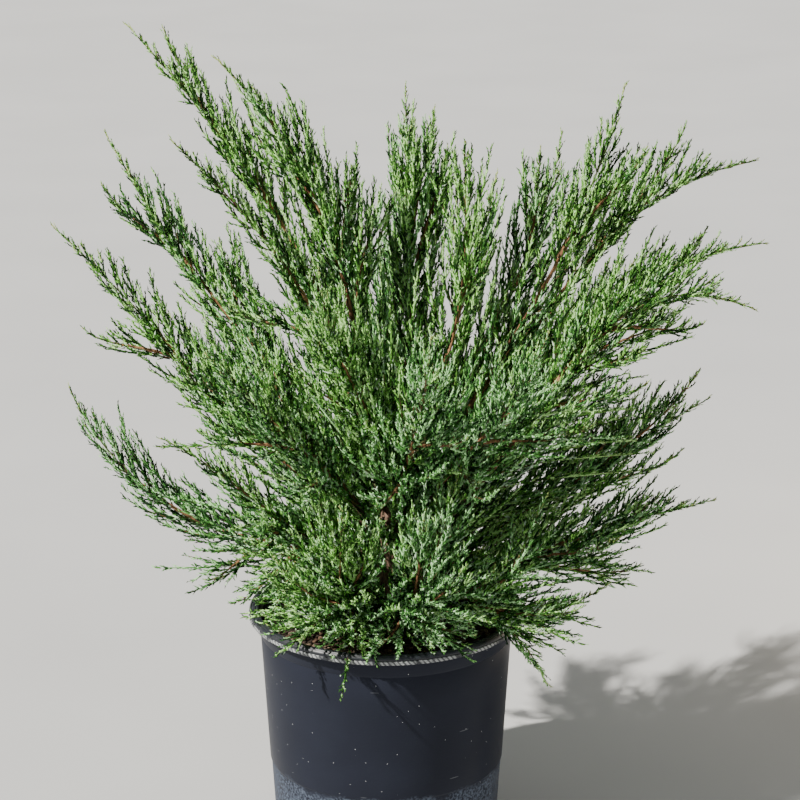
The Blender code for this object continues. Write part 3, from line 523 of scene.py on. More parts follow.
def grow_shoots(space, rng, leader):
    """Side shoots by the rule of the solids, closer together, and the leader's own tip as the last of them."""
    shoots = []
    leafy_from = leader.start * LEAFY_FROM
    count = round(axis_length(leader.axis) * (1 - leafy_from) / SHOOT_SPACING)
    turn = rng.uniform(0, math.tau)
    bare_from = rng.uniform(*BARE_STRETCH_STARTS)
    for k in range(count):
        along = leafy_from + (1 - leafy_from) * ((k + 0.5) / count) ** INNER_CROWDING
        if bare_from < along < bare_from + BARE_STRETCH and rng.random() < BARE_STRETCH_SKIPS:
            continue
        share = max(0.0, (along - leader.start) / (1 - leader.start))
        root, heading = axis_point(leader.axis, along)
        turn += GOLDEN_TURN + rng.uniform(-TURN_DRIFT, TURN_DRIFT)
        leaving = side_heading(heading, turn, rng.uniform(*SHOOT_ANGLES))
        reach = leader.spread * (1 - SHORTENING * share**SHORTENING_CURVE) + leader.core * (1 - share) * INNER_FULLNESS
        to_go = axis_length(leader.axis) * (1 - along)
        whip = min(1.0, WHIP_LEAST + to_go / WHIP_LENGTH)
        reach *= whip * rng.uniform(*SHOOT_LENGTHS)
        upright = min(1.0, max(0.0, (root.z - LEVEL_UNTIL) / (UPRIGHT_FROM - LEVEL_UNTIL)))
        if share < DROOP_UNTIL and rng.random() < DROOP_SHARE:
            upright = -DROOP
        lift = (heading + Vector((0, 0, upright))).normalized()
        for scale in SHOOT_TRIES:
            points = shoot_line(rng, root, leaving, lift, reach * scale)
            if reach * scale > SHORTEST_SHOOT and space.holds(points[1:]):
                shoots.append((points, share))
                break
    for first, last in ((0.64, 0.82), (0.82, 1.0)):
        shoots.append((axis_stretch(leader.axis, first, last, SHOOT_STEPS), last))
    return shoots


def places_along(lines, spacing, first, last, state):
    """Places along many lines of as many points each: line's number, share, point and heading."""
    steps = np.linalg.norm(np.diff(lines, axis=1), axis=2)
    counts = np.maximum(2, np.round(steps.sum(axis=1) * (last - first) / spacing)).astype(int)
    line = np.repeat(np.arange(len(lines)), counts)
    before = np.repeat(np.cumsum(counts) - counts, counts)
    within = np.arange(len(line)) - before + state.uniform(0.1, 0.9, len(line))
    share = first + (last - first) * within / counts[line]
    place = share * (lines.shape[1] - 1)
    index = np.minimum(place.astype(int), lines.shape[1] - 2)
    start = lines[line, index]
    step = lines[line, index + 1] - start
    return line, share, start + step * (place - index)[:, None], unit(step)


def leaving_sideways(headings, number, angles, pull, state):
    """Headings that leave these sideways by the golden turn, pulled upwards."""
    first, second = square_frame(headings)
    turn = number * GOLDEN_TURN + state.uniform(-TURN_DRIFT, TURN_DRIFT, len(headings))
    side = first * np.cos(turn)[:, None] + second * np.sin(turn)[:, None]
    angle = state.uniform(*angles, len(headings))[:, None]
    return unit(headings * np.cos(angle) + side * np.sin(angle) + [[0, 0, pull]])


def spikes(starts, ends, radii):
    """Three-sided cords, each from a ring at its root to a point at its end."""
    first, second = square_frame(unit(ends - starts))
    points = np.empty((len(starts), 4, 3))
    points[:, 3] = ends
    for k in range(3):
        turn = math.tau * k / 3
        points[:, k] = starts + (first * math.cos(turn) + second * math.sin(turn)) * radii[:, None]
    faces = np.array([(0, 1, 3), (1, 2, 3), (2, 0, 3)])
    numbers = np.arange(len(starts))[:, None, None] * 4 + faces[None]
    return points.reshape(-1, 3), numbers.reshape(-1, 3)


def above_pot(points):
    """True for the points that lie clear of the lip and the soil."""
    radius = np.hypot(points[:, 0], points[:, 1])
    floor = np.full(len(points), POT_HEIGHT)
    floor[radius < WALL_RADIUS_TOP - 2 * LIP_TUBE] = SOIL_TOP
    floor[radius > LIP_RADIUS] = 0.0
    return points[:, 2] > floor + POT_CLEARANCE / 2


def grow_foliage(shoots, shares, state):
    """The cords of one mass, the sprig that each is on, and each sprig's root, shoot and place from the inside out."""
    lines = np.array([[tuple(point) for point in line] for line in shoots])
    coarseness = 1 + SHOOT_COARSENESS * (1 - np.minimum(1, 2 * np.array(shares)))
    line, along, roots, headings = places_along(lines, SPRIG_SPACING * coarseness, BARE_SHARE, 0.97, state)
    leaving = leaving_sideways(headings, np.arange(len(line)), SPRIG_ANGLES, UP_PULL / 2, state)
    shoot_length = np.linalg.norm(np.diff(lines, axis=1), axis=2).sum(axis=1)[line]
    length = np.minimum(SPRIG_LONGEST, shoot_length * 0.5) * (1 - 0.72 * along) * state.uniform(0.7, 1.2, len(line))
    length = np.maximum(length, CORD_LENGTHS[0])
    middle = roots + leaving * (length * 0.5)[:, None]
    ends = middle + unit(leaving + [[0, 0, SPRIG_BEND]]) * (length * 0.5)[:, None]
    sprigs = np.stack([roots, middle, ends], axis=1)
    tips = np.stack([lines[:, -3], lines[:, -2], lines[:, -1]], axis=1)
    sprigs = np.concatenate([sprigs, tips])
    out = np.concatenate([along * 0.6 + np.array(shares)[line] * 0.4, np.array(shares) * 0.4 + 0.6])
    coarse = 1 + CORD_COARSENESS * (1 - out)
    sprig, share, starts, headings = places_along(sprigs, CORD_SPACING * coarse, 0.05, 1.0, state)
    leaving = leaving_sideways(headings, np.arange(len(sprig)), CORD_ANGLES, UP_PULL / 2, state)
    size = state.uniform(*CORD_LENGTHS, len(sprig)) * (1 - 0.35 * share) * coarse[sprig]
    cord_ends = starts + leaving * size[:, None]
    thick = CORD_RADIUS * state.uniform(0.8, 1.2, len(sprig)) * coarse[sprig]
    starts = np.concatenate([starts, sprigs[:, 0]])
    cord_ends = np.concatenate([cord_ends, sprigs[:, 2]])
    radii = np.concatenate([thick, SPRIG_RADIUS * coarse])
    owner = np.concatenate([sprig, np.arange(len(sprigs))])
    keep = above_pot(starts) & above_pot(cord_ends)
    shoot = np.concatenate([line, np.arange(len(lines))])
    return Growth(starts[keep], cord_ends[keep], radii[keep], owner[keep], out, sprigs[:, 0], shoot)


def trunk_shoots(rng):
    """Short inner sprays that stand out all round the trunk."""
    shoots = []
    turn = 0.0
    for k in range(TRUNK_SHOOTS):
        turn += GOLDEN_TURN
        height = TRUNK_LEAFY_FROM + (TRUNK_TOP - TRUNK_LEAFY_FROM) * (k + 0.5) / TRUNK_SHOOTS
        outwards = Vector((math.cos(turn), math.sin(turn), 0))
        root = trunk_centre(height) + outwards * trunk_radius(height)
        leaving = (outwards + Vector((0, 0, rng.uniform(0.2, 0.9)))).normalized()
        length = rng.uniform(*TRUNK_SHOOT_LENGTHS)
        shoots.append((shoot_line(rng, root, leaving, (outwards + Vector((0, 0, 1))).normalized(), length), 0.0))
    for sprays in LEVEL_SPRAYS:
        shoots += level_shoots(rng, sprays)
    return shoots


def level_shoots(rng, sprays):
    """Nearly level sprays from the trunk's foot, within a wedge of directions."""
    shoots = []
    for _ in range(sprays.count):
        turn = sprays.azimuth + rng.uniform(-sprays.within, sprays.within)
        outwards = Vector((math.cos(turn), math.sin(turn), 0))
        height = rng.uniform(*sprays.heights)
        root = trunk_centre(height) + outwards * trunk_radius(height)
        leaving = (outwards + Vector((0, 0, rng.uniform(*sprays.rises)))).normalized()
        length = rng.uniform(*sprays.lengths)
        shoots.append((shoot_line(rng, root, leaving, outwards, length), 0.0))
    return shoots


Leader = namedtuple("Leader", "axis start radius core spread")


def leaders_of(plume, axis, fork_lines):
    leaders = [Leader(axis, plume.bare, STEM_RADIUS, plume.core, plume.spread)]
    for fork, line in zip(plume.forks, fork_lines):
        spread = plume.spread * (1 + fork.full) / 2
        leaders.append(Leader(line, 0.0, FORK_RADIUS, plume.core * fork.full, spread))
    return leaders


def limb_unit(sides, rings, ridge):
    """A straight limb of unit length and radius with ridged bark, modelled once for all the limbs."""
    deselect()
    step = 1 / rings
    bpy.ops.mesh.primitive_cylinder_add(vertices=sides, radius=1.0, depth=step, location=(0, 0, step / 2))
    obj = bpy.context.object
    bpy.ops.object.transform_apply(location=True)
    bpy.ops.object.mode_set(mode="EDIT")
    pick(obj, "faces", lambda face: face.normal.z > 0.9)
    for k in range(1, rings):
        draw_ring((1.0, k * step), (1.0, (k + 1) * step))
    if ridge:
        pick(obj, "verts", lambda vert: round(vert_turn(vert) / (math.tau / sides)) % 2 == 0)
        bpy.ops.transform.resize(value=(1 + ridge, 1 + ridge, 1), center_override=(0, 0, 0.5))
        pick(obj, "verts", lambda vert: 0.01 < vert.co.z < 0.99)
        bpy.ops.transform.vertex_random(offset=ridge, uniform=1.0, seed=sides)
    bpy.ops.object.mode_set(mode="OBJECT")
    return taken_apart(obj)


def taken_apart(obj):
    """The object's points and triangles as arrays; the object itself is removed."""
    shape = bmesh.new()
    shape.from_mesh(obj.data)
    bmesh.ops.triangulate(shape, faces=shape.faces)
    points = np.array([tuple(vert.co) for vert in shape.verts])
    faces = np.array([[vert.index for vert in face.verts] for face in shape.faces])
    shape.free()
    bpy.data.objects.remove(obj, do_unlink=True)
    return points, faces


def vert_turn(vert):
    return math.atan2(vert.co.y, vert.co.x) % math.tau


def pick(obj, kind, wanted):
    """Selects the vertices, edges or faces of the object in edit mode that are wanted, and nothing else."""
    shape = bmesh.from_edit_mesh(obj.data)
    for items in (shape.verts, shape.edges, shape.faces):
        for item in items:
            item.select = False
    for item in getattr(shape, kind):
        if wanted(item):
            item.select_set(True)
    bpy.context.tool_settings.mesh_select_mode = [kind == "verts", kind == "edges", kind == "faces"]
    shape.select_mode = {{"verts": "VERT", "edges": "EDGE", "faces": "FACE"}[kind]}
    shape.select_flush_mode()
    bmesh.update_edit_mesh(obj.data)


def limb_along(limb, line, start_radius, end_radius, taper=1.0):
    """The straight limb bent along a line, tapering from one radius to the other."""
    points, faces = limb
    line = np.array([tuple(point) for point in line])
    headings = unit(np.gradient(line, axis=0))
    sideways = np.empty_like(line)
    side = square_frame(headings[:1])[0][0]
    for k, heading in enumerate(headings):
        side = side - heading * np.dot(side, heading)
        side = side / np.linalg.norm(side)
        sideways[k] = side
    place = points[:, 2] * (len(line) - 1)
    index = np.minimum(place.astype(int), len(line) - 2)
    part = (place - index)[:, None]
    centre = line[index] * (1 - part) + line[index + 1] * part
    heading = unit(headings[index] * (1 - part) + headings[index + 1] * part)
    first = unit(sideways[index] * (1 - part) + sideways[index + 1] * part)
    second = np.cross(heading, first)
    radius = end_radius + (start_radius - end_radius) * np.maximum(0, 1 - points[:, 2:3]) ** taper
    return centre + (first * points[:, :1] + second * points[:, 1:2]) * radius, faces


def add_plant():
    """Every limb and every mass, from the same centre lines as the solids."""
    axes = plume_axes()
    forks = {plume.name: [fork_axis(fork, axes[plume.name]) for fork in plume.forks] for plume in PLUMES}
    bough_limb = limb_unit(12, 20, 0.14)
    stem_limb = limb_unit(6, LEADER_STEPS, 0.10)
    shoot_limb = limb_unit(3, 3, 0.0)
    boughs = []
    stems = []
    green_stems = []
    twigs = []
    grown = []
    for plume in PLUMES:
        rng = random.Random(plume.name)
        state = np.random.default_rng(sum(plume.name.encode()))
        axis = axes[plume.name]
        others = [line for name, line in axes.items() if name != plume.name]
        others += [line for name, lines in forks.items() if name != plume.name for line in lines]
        space = Space([axis, *forks[plume.name]], others)
        bough = axis_stretch(axis, 0.0, plume.bare, 20)
        boughs.append(limb_along(bough_limb, bough, BOUGH_RADIUS, BOUGH_END_RADIUS))
        shoots = []
        for leader in leaders_of(plume, axis, forks[plume.name]):
            middle = leader.start + (1 - leader.start) * BROWN_UNTIL
            middle_radius = TIP_RADIUS + (leader.radius - TIP_RADIUS) * (1 - BROWN_UNTIL) ** STEM_TAPER
            stem = axis_stretch(leader.axis, leader.start, middle, LEADER_STEPS)
            stems.append(limb_along(stem_limb, stem, leader.radius * STEM_THICKENING, middle_radius, STEM_TAPER / 2))
            outer = axis_stretch(leader.axis, middle, 0.99, LEADER_STEPS)
            green_stems.append(limb_along(stem_limb, outer, middle_radius, TIP_RADIUS / 2))
            shoots += grow_shoots(space, rng, leader)
        for line, _ in shoots:
            twigs.append(limb_along(shoot_limb, line, SHOOT_RADIUS, SHOOT_RADIUS / 3))
        grown.append(grow_foliage([line for line, _ in shoots], [share for _, share in shoots], state))
    inner = trunk_shoots(random.Random("trunk"))
    twigs += [limb_along(shoot_limb, line, SHOOT_RADIUS, SHOOT_RADIUS / 3) for line, _ in inner]
    grown.append(grow_foliage([line for line, _ in inner], [0.0] * len(inner), np.random.default_rng(7)))
    bark = bark_material("bough_bark", (0.105, 0.052, 0.028), (0.260, 0.150, 0.095))
    young = bark_material("stem_bark", (0.200, 0.072, 0.020), (0.440, 0.210, 0.085))
    limbs = joined_piece("bough_limbs", *stacked(boughs), bark, "bough")
    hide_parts(*[f"{plume.name}_bough" for plume in PLUMES])
    joined_piece("leader_stems", *stacked(stems), young, "bough")
    joined_piece("shoot_twigs", *stacked(twigs + green_stems), twig_material(), "bough")
    add_cords(grown)
    return bark


def tones_of(grown):
    """A tone for each sprig of the plant, as painted light and shade: lighter far out, darker inside, towards the sides
    and a little higher up, and much of it at random.
    """
    state = np.random.default_rng(11)
    tones = []
    for growth in grown:
        height = growth.roots[:, 2] / CROWN_TOP
        sideways = np.abs(growth.roots[:, 0] - TONE_CENTRE)
        tones.append(growth.out * 0.26 - height * 0.06 - sideways * 0.6 + state.normal(0, 0.27, len(height)))
    return tones


def warmth_of(grown):
    """True for each sprig on a warm shoot: by the mass, by the height and at random."""
    state = np.random.default_rng(13)
    warmth = []
    for growth in grown:
        by_shoot = state.normal(state.normal(0, 0.22), 0.20, growth.shoot.max() + 1)
        warmth.append(growth.roots[:, 2] / CROWN_TOP + by_shoot[growth.shoot])
    least = np.quantile(np.concatenate(warmth), 1 - WARM_SHARE)
    return [values > least for values in warmth]


def bands_of(grown):
    """The green of every cord: its sprig's, or now and then a lighter one as a painted glint or a darker one as painted
    shade.
    """
    tones = tones_of(grown)
    edges = np.quantile(np.concatenate(tones), np.cumsum([tint[1] for tint in TINTS])[:-1])
    state = np.random.default_rng(12)
    lightest = len(TINTS) - 1
    bands = []
    for growth, tone, warm in zip(grown, tones, warmth_of(grown)):
        cords = len(growth.owner)
        band = np.searchsorted(edges, tone)[growth.owner]
        chance = state.uniform(size=cords)
        # Painted glints and painted shade on single cords.
        band = np.where(chance < LIFTED_SHARE, np.minimum(band + 2, lightest), band)
        band = np.where(chance > 1 - SUNK_SHARE, np.maximum(band - 2, 0), band)
        band = band + np.where(warm[growth.owner], 0, len(TINTS))
        low_down = np.clip(1 - growth.roots[growth.owner, 2] / CROWN_TOP, 0, 1)
        # Waxy bloom and painted glints, more of them low down.
        bloom_and_glint_share = BLOOM_AND_GLINT_SHARES[1] + (BLOOM_AND_GLINT_SHARES[0] - BLOOM_AND_GLINT_SHARES[1]) * low_down
        band[state.uniform(size=cords) < bloom_and_glint_share] = 2 * len(TINTS)
        tip = (growth.out[growth.owner] > YELLOW_FROM) & (state.uniform(size=cords) < YELLOW_SHARE)
        band[tip] = 2 * len(TINTS) + 1
        bands.append(band)
    return bands


def add_cords(grown):
    """The cords of the whole plant, each green joined into as few pieces as may be."""
    bands = bands_of(grown)
    greens = [(f"warm_{name}", warm) for name, _, warm, _ in TINTS]
    greens += [(f"cool_{name}", cool) for name, _, _, cool in TINTS]
    greens += [BLOOM_AND_GLINT, YELLOW]
    for number, (name, colour) in enumerate(greens):
        parts = []
        for growth, band in zip(grown, bands):
            chosen = band == number
            if chosen.any():
                parts.append(spikes(growth.starts[chosen], growth.ends[chosen], growth.radii[chosen]))
        points, faces = stacked(parts)
        cords = len(faces) // 3
        wanted = math.ceil(len(faces) / PIECE_FACES)
        material = foliage_material(f"green_{name}", colour)
        for k in range(wanted):
            low = cords * k // wanted
            high = cords * (k + 1) // wanted
            here = points[low * 4:high * 4]
            joined_piece(f"cords_{name}_{k}", here, faces[low * 3:high * 3] - low * 4, material, "foliage")
    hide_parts(*[f"{plume.name}_foliage" for plume in PLUMES])


def put(tree, kind, settings=None, values=(), **sockets):
    """A node of this kind. values go to its sockets in order and sockets by name; both take links too."""
    node = tree.nodes.new(kind)
    for name, value in (settings or {}).items():
        setattr(node, name, value)
    wanted = list(enumerate(values)) + [(name.replace("_", " "), value) for name, value in sockets.items()]
    for key, value in wanted:
        if value is None:
            continue
        if isinstance(value, bpy.types.NodeSocket):
            tree.links.new(value, node.inputs[key])
        else:
            node.inputs[key].default_value = value
    return node


def maths(tree, operation, *values):
    return put(tree, "ShaderNodeMath", {"operation": operation}, values).outputs["Value"]


def blended(tree, share, first, second):
    """The first colour where share is 0 and the second where it is 1."""
    mix = put(tree, "ShaderNodeMix", {"data_type": "RGBA"})
    for index, value in ((0, share), (6, first), (7, second)):
        if isinstance(value, bpy.types.NodeSocket):
            tree.links.new(value, mix.inputs[index])
        elif index == 0:
            mix.inputs[index].default_value = value
        else:
            mix.inputs[index].default_value = (*value, 1.0)
    return mix.outputs[2]


def new_group(name, inputs, outputs):
    """A node group with these sockets: each is a name, a kind and, for an input, a value."""
    tree = bpy.data.node_groups.new(name, "ShaderNodeTree")
    for socket_name, kind, value in inputs:
        socket = tree.interface.new_socket(name=socket_name, in_out="INPUT", socket_type=kind)
        if value is not None:
            socket.default_value = value
    for socket_name, kind in outputs:
        tree.interface.new_socket(name=socket_name, in_out="OUTPUT", socket_type=kind)
    into = tree.nodes.new("NodeGroupInput")
    out = tree.nodes.new("NodeGroupOutput")
    return tree, into.outputs, out.inputs


def grain_group():
    """A mask of noise whose low and high set where it starts and where it is full."""
    tree, given, result = new_group(
        "grain",
        (
            ("Vector", "NodeSocketVector", None),
            ("Scale", "NodeSocketFloat", 100.0),
            ("Detail", "NodeSocketFloat", 4.0),
            ("Low", "NodeSocketFloat", 0.35),
            ("High", "NodeSocketFloat", 0.65),
        ),
        (("Mask", "NodeSocketFloat"), ("Height", "NodeSocketFloat")),
    )
    noise = put(tree, "ShaderNodeTexNoise", Vector=given["Vector"], Scale=given["Scale"], Detail=given["Detail"])
    spread = put(tree, "ShaderNodeMapRange", Value=noise.outputs["Fac"], From_Min=given["Low"],
                 From_Max=given["High"])
    tree.links.new(spread.outputs["Result"], result["Mask"])
    tree.links.new(noise.outputs["Fac"], result["Height"])
    return tree


def round_wall_group():
    """Object coordinates unrolled round the Z axis: the way round and the height, in metres."""
    tree, given, result = new_group(
        "round_wall",
        (("Vector", "NodeSocketVector", None), ("Radius", "NodeSocketFloat", 0.12)),
        (("Unrolled", "NodeSocketVector"), ("Height", "NodeSocketFloat")),
    )
    parts = put(tree, "ShaderNodeSeparateXYZ", Vector=given["Vector"]).outputs
    turn = maths(tree, "ARCTAN2", parts["Y"], parts["X"])
    arc = maths(tree, "MULTIPLY", turn, given["Radius"])
    unrolled = put(tree, "ShaderNodeCombineXYZ", X=arc, Y=parts["Z"]).outputs["Vector"]
    tree.links.new(unrolled, result["Unrolled"])
    tree.links.new(parts["Z"], result["Height"])
    return tree


def placed_group(tree, group, **sockets):
    node = put(tree, "ShaderNodeGroup", {"node_tree": group}, **sockets)
    return node.outputs


def new_material(name):
    material = bpy.data.materials.new(name)
    material.use_nodes = True
    tree = material.node_tree
    coords = put(tree, "ShaderNodeTexCoord").outputs["Object"]
    return material, tree, tree.nodes["Principled BSDF"].inputs, coords


def bumped(tree, shader, height, strength, distance):
    bump = put(tree, "ShaderNodeBump", Height=height, Strength=strength, Distance=distance)
    tree.links.new(bump.outputs["Normal"], shader["Normal"])


def foliage_material(name, colour):
    """Scale leaves: a plain green, waxy where the bloom lies on it."""
    material, tree, shader, coords = new_material(name)
    shader["Base Color"].default_value = (*colour, 1.0)
    shader["Specular IOR Level"].default_value = 0.17
    wax = placed_group(tree, GRAIN, Vector=coords, Scale=240.0, Detail=2.0, Low=0.40, High=0.60)
    rough = put(tree, "ShaderNodeMapRange", Value=wax["Mask"], To_Min=0.42, To_Max=0.66)
    tree.links.new(rough.outputs["Result"], shader["Roughness"])
    scales = placed_group(tree, GRAIN, Vector=coords, Scale=780.0, Detail=1.0, Low=0.35, High=0.65)
    bumped(tree, shader, scales["Height"], 0.9, 0.0012)
    return material


def twig_material():
    """Young shoots: green where they are fresh and brown where their bark has set."""
    material, tree, shader, coords = new_material("shoot_twig")
    patch = placed_group(tree, GRAIN, Vector=coords, Scale=38.0, Detail=3.0, Low=0.42, High=0.58)
    colour = blended(tree, patch["Mask"], (0.115, 0.150, 0.045), (0.170, 0.085, 0.035))
    tree.links.new(colour, shader["Base Color"])
    shader["Roughness"].default_value = 0.7
    return material


def bark_material(name, dark, light):
    """Bark in long fissured strips, paler on its ridges."""
    material, tree, shader, coords = new_material(name)
    stretched = put(tree, "ShaderNodeMapping", Vector=coords, Scale=(1.0, 1.0, 0.22)).outputs["Vector"]
    strips = placed_group(tree, GRAIN, Vector=stretched, Scale=260.0, Detail=6.0, Low=0.38, High=0.64)
    fine = placed_group(tree, GRAIN, Vector=coords, Scale=900.0, Detail=2.0, Low=0.30, High=0.70)
    colour = blended(tree, strips["Mask"], dark, light)
    worn = maths(tree, "MULTIPLY", fine["Mask"], 0.22)
    tree.links.new(blended(tree, worn, colour, (0.34, 0.29, 0.24)), shader["Base Color"])
    shader["Roughness"].default_value = 0.86
    bumped(tree, shader, strips["Height"], 0.75, 0.0016)
    return material


def plastic_material():
    """Charcoal plastic: a scuffed lip, rubbed ribs under it with a painted highlight, dust below the shoulder, pale
    specks and short level scratches.
    """
    material, tree, shader, coords = new_material("pot_plastic")
    around = placed_group(tree, ROUND_WALL, Vector=coords, Radius=WALL_RADIUS_TOP)
    film = placed_group(tree, GRAIN, Vector=coords, Scale=16.0, Detail=6.0, Low=0.40, High=0.75)
    plastic = blended(tree, maths(tree, "MULTIPLY", film["Mask"], 0.12), PLASTIC, PLASTIC_HAZE)
    dust = dust_mask(tree, coords, around)
    scuff = scuff_mask(tree, coords, around)
    coloured = blended(tree, dust, plastic, (0.100, 0.122, 0.165))
    coloured = blended(tree, scuff, coloured, (0.022, 0.025, 0.030))
    # The hem's ribs: rubbed wear with a painted highlight, pale grey in slanted stripes.
    coloured = blended(tree, hem_wear_and_highlight_mask(tree, coords, around), coloured, (0.420, 0.435, 0.440))
    coloured = blended(tree, scratch_mask(tree, around), coloured, (0.20, 0.21, 0.23))
    coloured = blended(tree, speck_mask(tree, coords), coloured, (0.72, 0.74, 0.76))
    tree.links.new(coloured, shader["Base Color"])
    worn = maths(tree, "MAXIMUM", dust, maths(tree, "MULTIPLY", film["Mask"], 0.2))
    rough = put(tree, "ShaderNodeMapRange", Value=worn, To_Min=0.36, To_Max=0.80)
    tree.links.new(rough.outputs["Result"], shader["Roughness"])
    shine = put(tree, "ShaderNodeMapRange", Value=scuff, To_Min=0.06, To_Max=0.55)
    tree.links.new(shine.outputs["Result"], shader["Specular IOR Level"])
    level = put(tree, "ShaderNodeMapping", Vector=around["Unrolled"], Scale=(0.03, 1.0, 1.0))
    lines = placed_group(tree, GRAIN, Vector=level.outputs["Vector"], Scale=800.0, Detail=2.0, Low=0.3, High=0.7)
    bumped(tree, shader, lines["Height"], 0.22, 0.0005)
    return material


PLASTIC = (0.0180, 0.0205, 0.0310)
PLASTIC_HAZE = (0.044, 0.052, 0.080)


def dust_mask(tree, coords, around):
    """Dust that starts unevenly under the shoulder."""
    ripple = placed_group(tree, GRAIN, Vector=around["Unrolled"], Scale=30.0, Detail=6.0, Low=0.3, High=0.7)
    uneven = maths(tree, "MULTIPLY_ADD", ripple["Height"], 0.030, around["Height"])
    band = put(tree, "ShaderNodeMapRange", Value=uneven, From_Min=SHOULDER_HEIGHT + 0.015,
               From_Max=SHOULDER_HEIGHT + 0.008).outputs["Result"]
    mottle = placed_group(tree, GRAIN, Vector=coords, Scale=420.0, Detail=5.0, Low=0.40, High=0.62)
    return maths(tree, "MULTIPLY", band, mottle["Mask"])


def scuff_mask(tree, coords, around):
    """The lip is rubbed paler than the wall."""
    lip = put(tree, "ShaderNodeMapRange", Value=around["Height"], From_Min=POT_HEIGHT - 0.0100,
              From_Max=POT_HEIGHT - 0.0070).outputs["Result"]
    rubbed = placed_group(tree, GRAIN, Vector=coords, Scale=120.0, Detail=5.0, Low=0.05, High=0.55)
    return maths(tree, "MULTIPLY", lip, rubbed["Mask"])


def hem_wear_and_highlight_mask(tree, coords, around):
    """The ribs under the lip are rubbed palest and carry a painted highlight, in slanted stripes."""
    above = maths(tree, "GREATER_THAN", around["Height"], POT_HEIGHT - 0.0093)
    below = maths(tree, "LESS_THAN", around["Height"], POT_HEIGHT - 0.0052)
    rubbed = placed_group(tree, GRAIN, Vector=coords, Scale=90.0, Detail=5.0, Low=0.36, High=0.56)
    along = put(tree, "ShaderNodeSeparateXYZ", Vector=around["Unrolled"]).outputs
    slant = maths(tree, "MULTIPLY_ADD", along["X"], 1 / RIB_PITCH, maths(tree, "MULTIPLY", along["Y"], 1 / RIB_SLANT))
    ribs = maths(tree, "GREATER_THAN", maths(tree, "FRACT", slant), 0.45)
    ribs = maths(tree, "MULTIPLY_ADD", ribs, 0.8, 0.2)
    return maths(tree, "MULTIPLY", ribs, maths(tree, "MULTIPLY", maths(tree, "MULTIPLY", above, below), rubbed["Mask"]))


def speck_mask(tree, coords):
    """A few tiny round specks."""
    spots = put(tree, "ShaderNodeTexVoronoi", Vector=coords, Scale=190.0, Randomness=1.0)
    rare = put(tree, "ShaderNodeSeparateColor", Color=spots.outputs["Color"]).outputs["Red"]
    near = maths(tree, "LESS_THAN", spots.outputs["Distance"], 0.068)
    return maths(tree, "MULTIPLY", near, maths(tree, "LESS_THAN", rare, 0.22))


def scratch_mask(tree, around):
    """A few short level scratches."""
    level = put(tree, "ShaderNodeMapping", Vector=around["Unrolled"], Scale=(26.0, 300.0, 1.0))
    marks = put(tree, "ShaderNodeTexVoronoi", Vector=level.outputs["Vector"], Scale=1.0, Randomness=1.0)
    scarce = put(tree, "ShaderNodeSeparateColor", Color=marks.outputs["Color"]).outputs["Green"]
    near = maths(tree, "LESS_THAN", marks.outputs["Distance"], 0.16)
    return maths(tree, "MULTIPLY", maths(tree, "MULTIPLY", near, maths(tree, "LESS_THAN", scarce, 0.045)), 0.4)


def chip_material(name, dark, light):
    """Composted bark: fibrous, dull and darker in its pores."""
    material, tree, shader, coords = new_material(name)
    fibres = placed_group(tree, GRAIN, Vector=coords, Scale=480.0, Detail=5.0, Low=0.35, High=0.66)
    tree.links.new(blended(tree, fibres["Mask"], dark, light), shader["Base Color"])
    shader["Roughness"].default_value = 0.95
    bumped(tree, shader, fibres["Height"], 0.6, 0.001)
    return material


# Pot: its outside from the ground up, its lip and its inside. Lip places are from the lip's outer top corner.
POT_STEPS = 288
SHOULDER_HEIGHT = 0.0785
SHOULDER_STEP = 0.0011
SHOULDER_RISE = 0.0030
LIP_RINGS = (
    (-0.0080, -0.0092), (-0.0012, -0.0091), (0.0, -0.0084), (0.0, -0.0056), (-0.0014, -0.0050), (-0.0016, -0.0040),
    (-0.0006, -0.0033), (-0.0008, -0.0021), (-0.0020, -0.0009), (-0.0032, -0.0013), (-0.0042, -0.0002),
    (-0.0064, 0.0), (-0.0074, -0.0012), (-0.0086, -0.0005), (-0.0100, -0.0014), (-0.0108, -0.0040),
)
HEM_RINGS = (-0.0084, -0.0056)
RIB_DEPTH = 0.0010
RIB_PITCH = 0.0046
RIB_SLANT = 0.0060


def outer_wall_rings():
    """Radius and height of each ring up the outside, with the shoulder, the groove and the collar."""
    groove = POT_HEIGHT - COLLAR_DEPTH
    below = SHOULDER_HEIGHT - SHOULDER_RISE
    rings = [(wall_radius(FOOT_CHAMFER) - SHOULDER_STEP, FOOT_CHAMFER)]
    rings += [(wall_radius(below / 2) - SHOULDER_STEP, below / 2), (wall_radius(below) - SHOULDER_STEP, below)]
    for k in range(1, 5):
        ease = 0.5 - 0.5 * math.cos(math.pi * k / 4)
        height = below + SHOULDER_RISE * k / 4
        rings.append((wall_radius(height) - SHOULDER_STEP * (1 - ease), height))
    for k in range(1, 6):
        height = SHOULDER_HEIGHT + (groove - GROOVE_WIDTH - SHOULDER_HEIGHT) * k / 5
        rings.append((wall_radius(height), height))
    rings += [(wall_radius(groove) - GROOVE_DEPTH / 2, groove - GROOVE_WIDTH * 0.65)]
    rings += [(wall_radius(groove) - GROOVE_DEPTH / 2, groove - GROOVE_WIDTH * 0.35)]
    rings += [(wall_radius(groove), groove), (wall_radius(groove) + COLLAR_STEP, groove + 0.0010)]
    rings += [(wall_radius(POT_HEIGHT) + COLLAR_STEP, POT_HEIGHT - 2 * LIP_TUBE - 0.0016)]
    return rings


def lip_rings():
    return [(LIP_RADIUS + across, POT_HEIGHT + up) for across, up in LIP_RINGS]


def inner_wall_rings():
    """Down the inside to just under the soil's edge."""
    rings = []
    for height in (0.226, 0.214, 0.150, FLOOR_THICKNESS):
        rings.append((wall_radius(height) - WALL, height))
    return rings


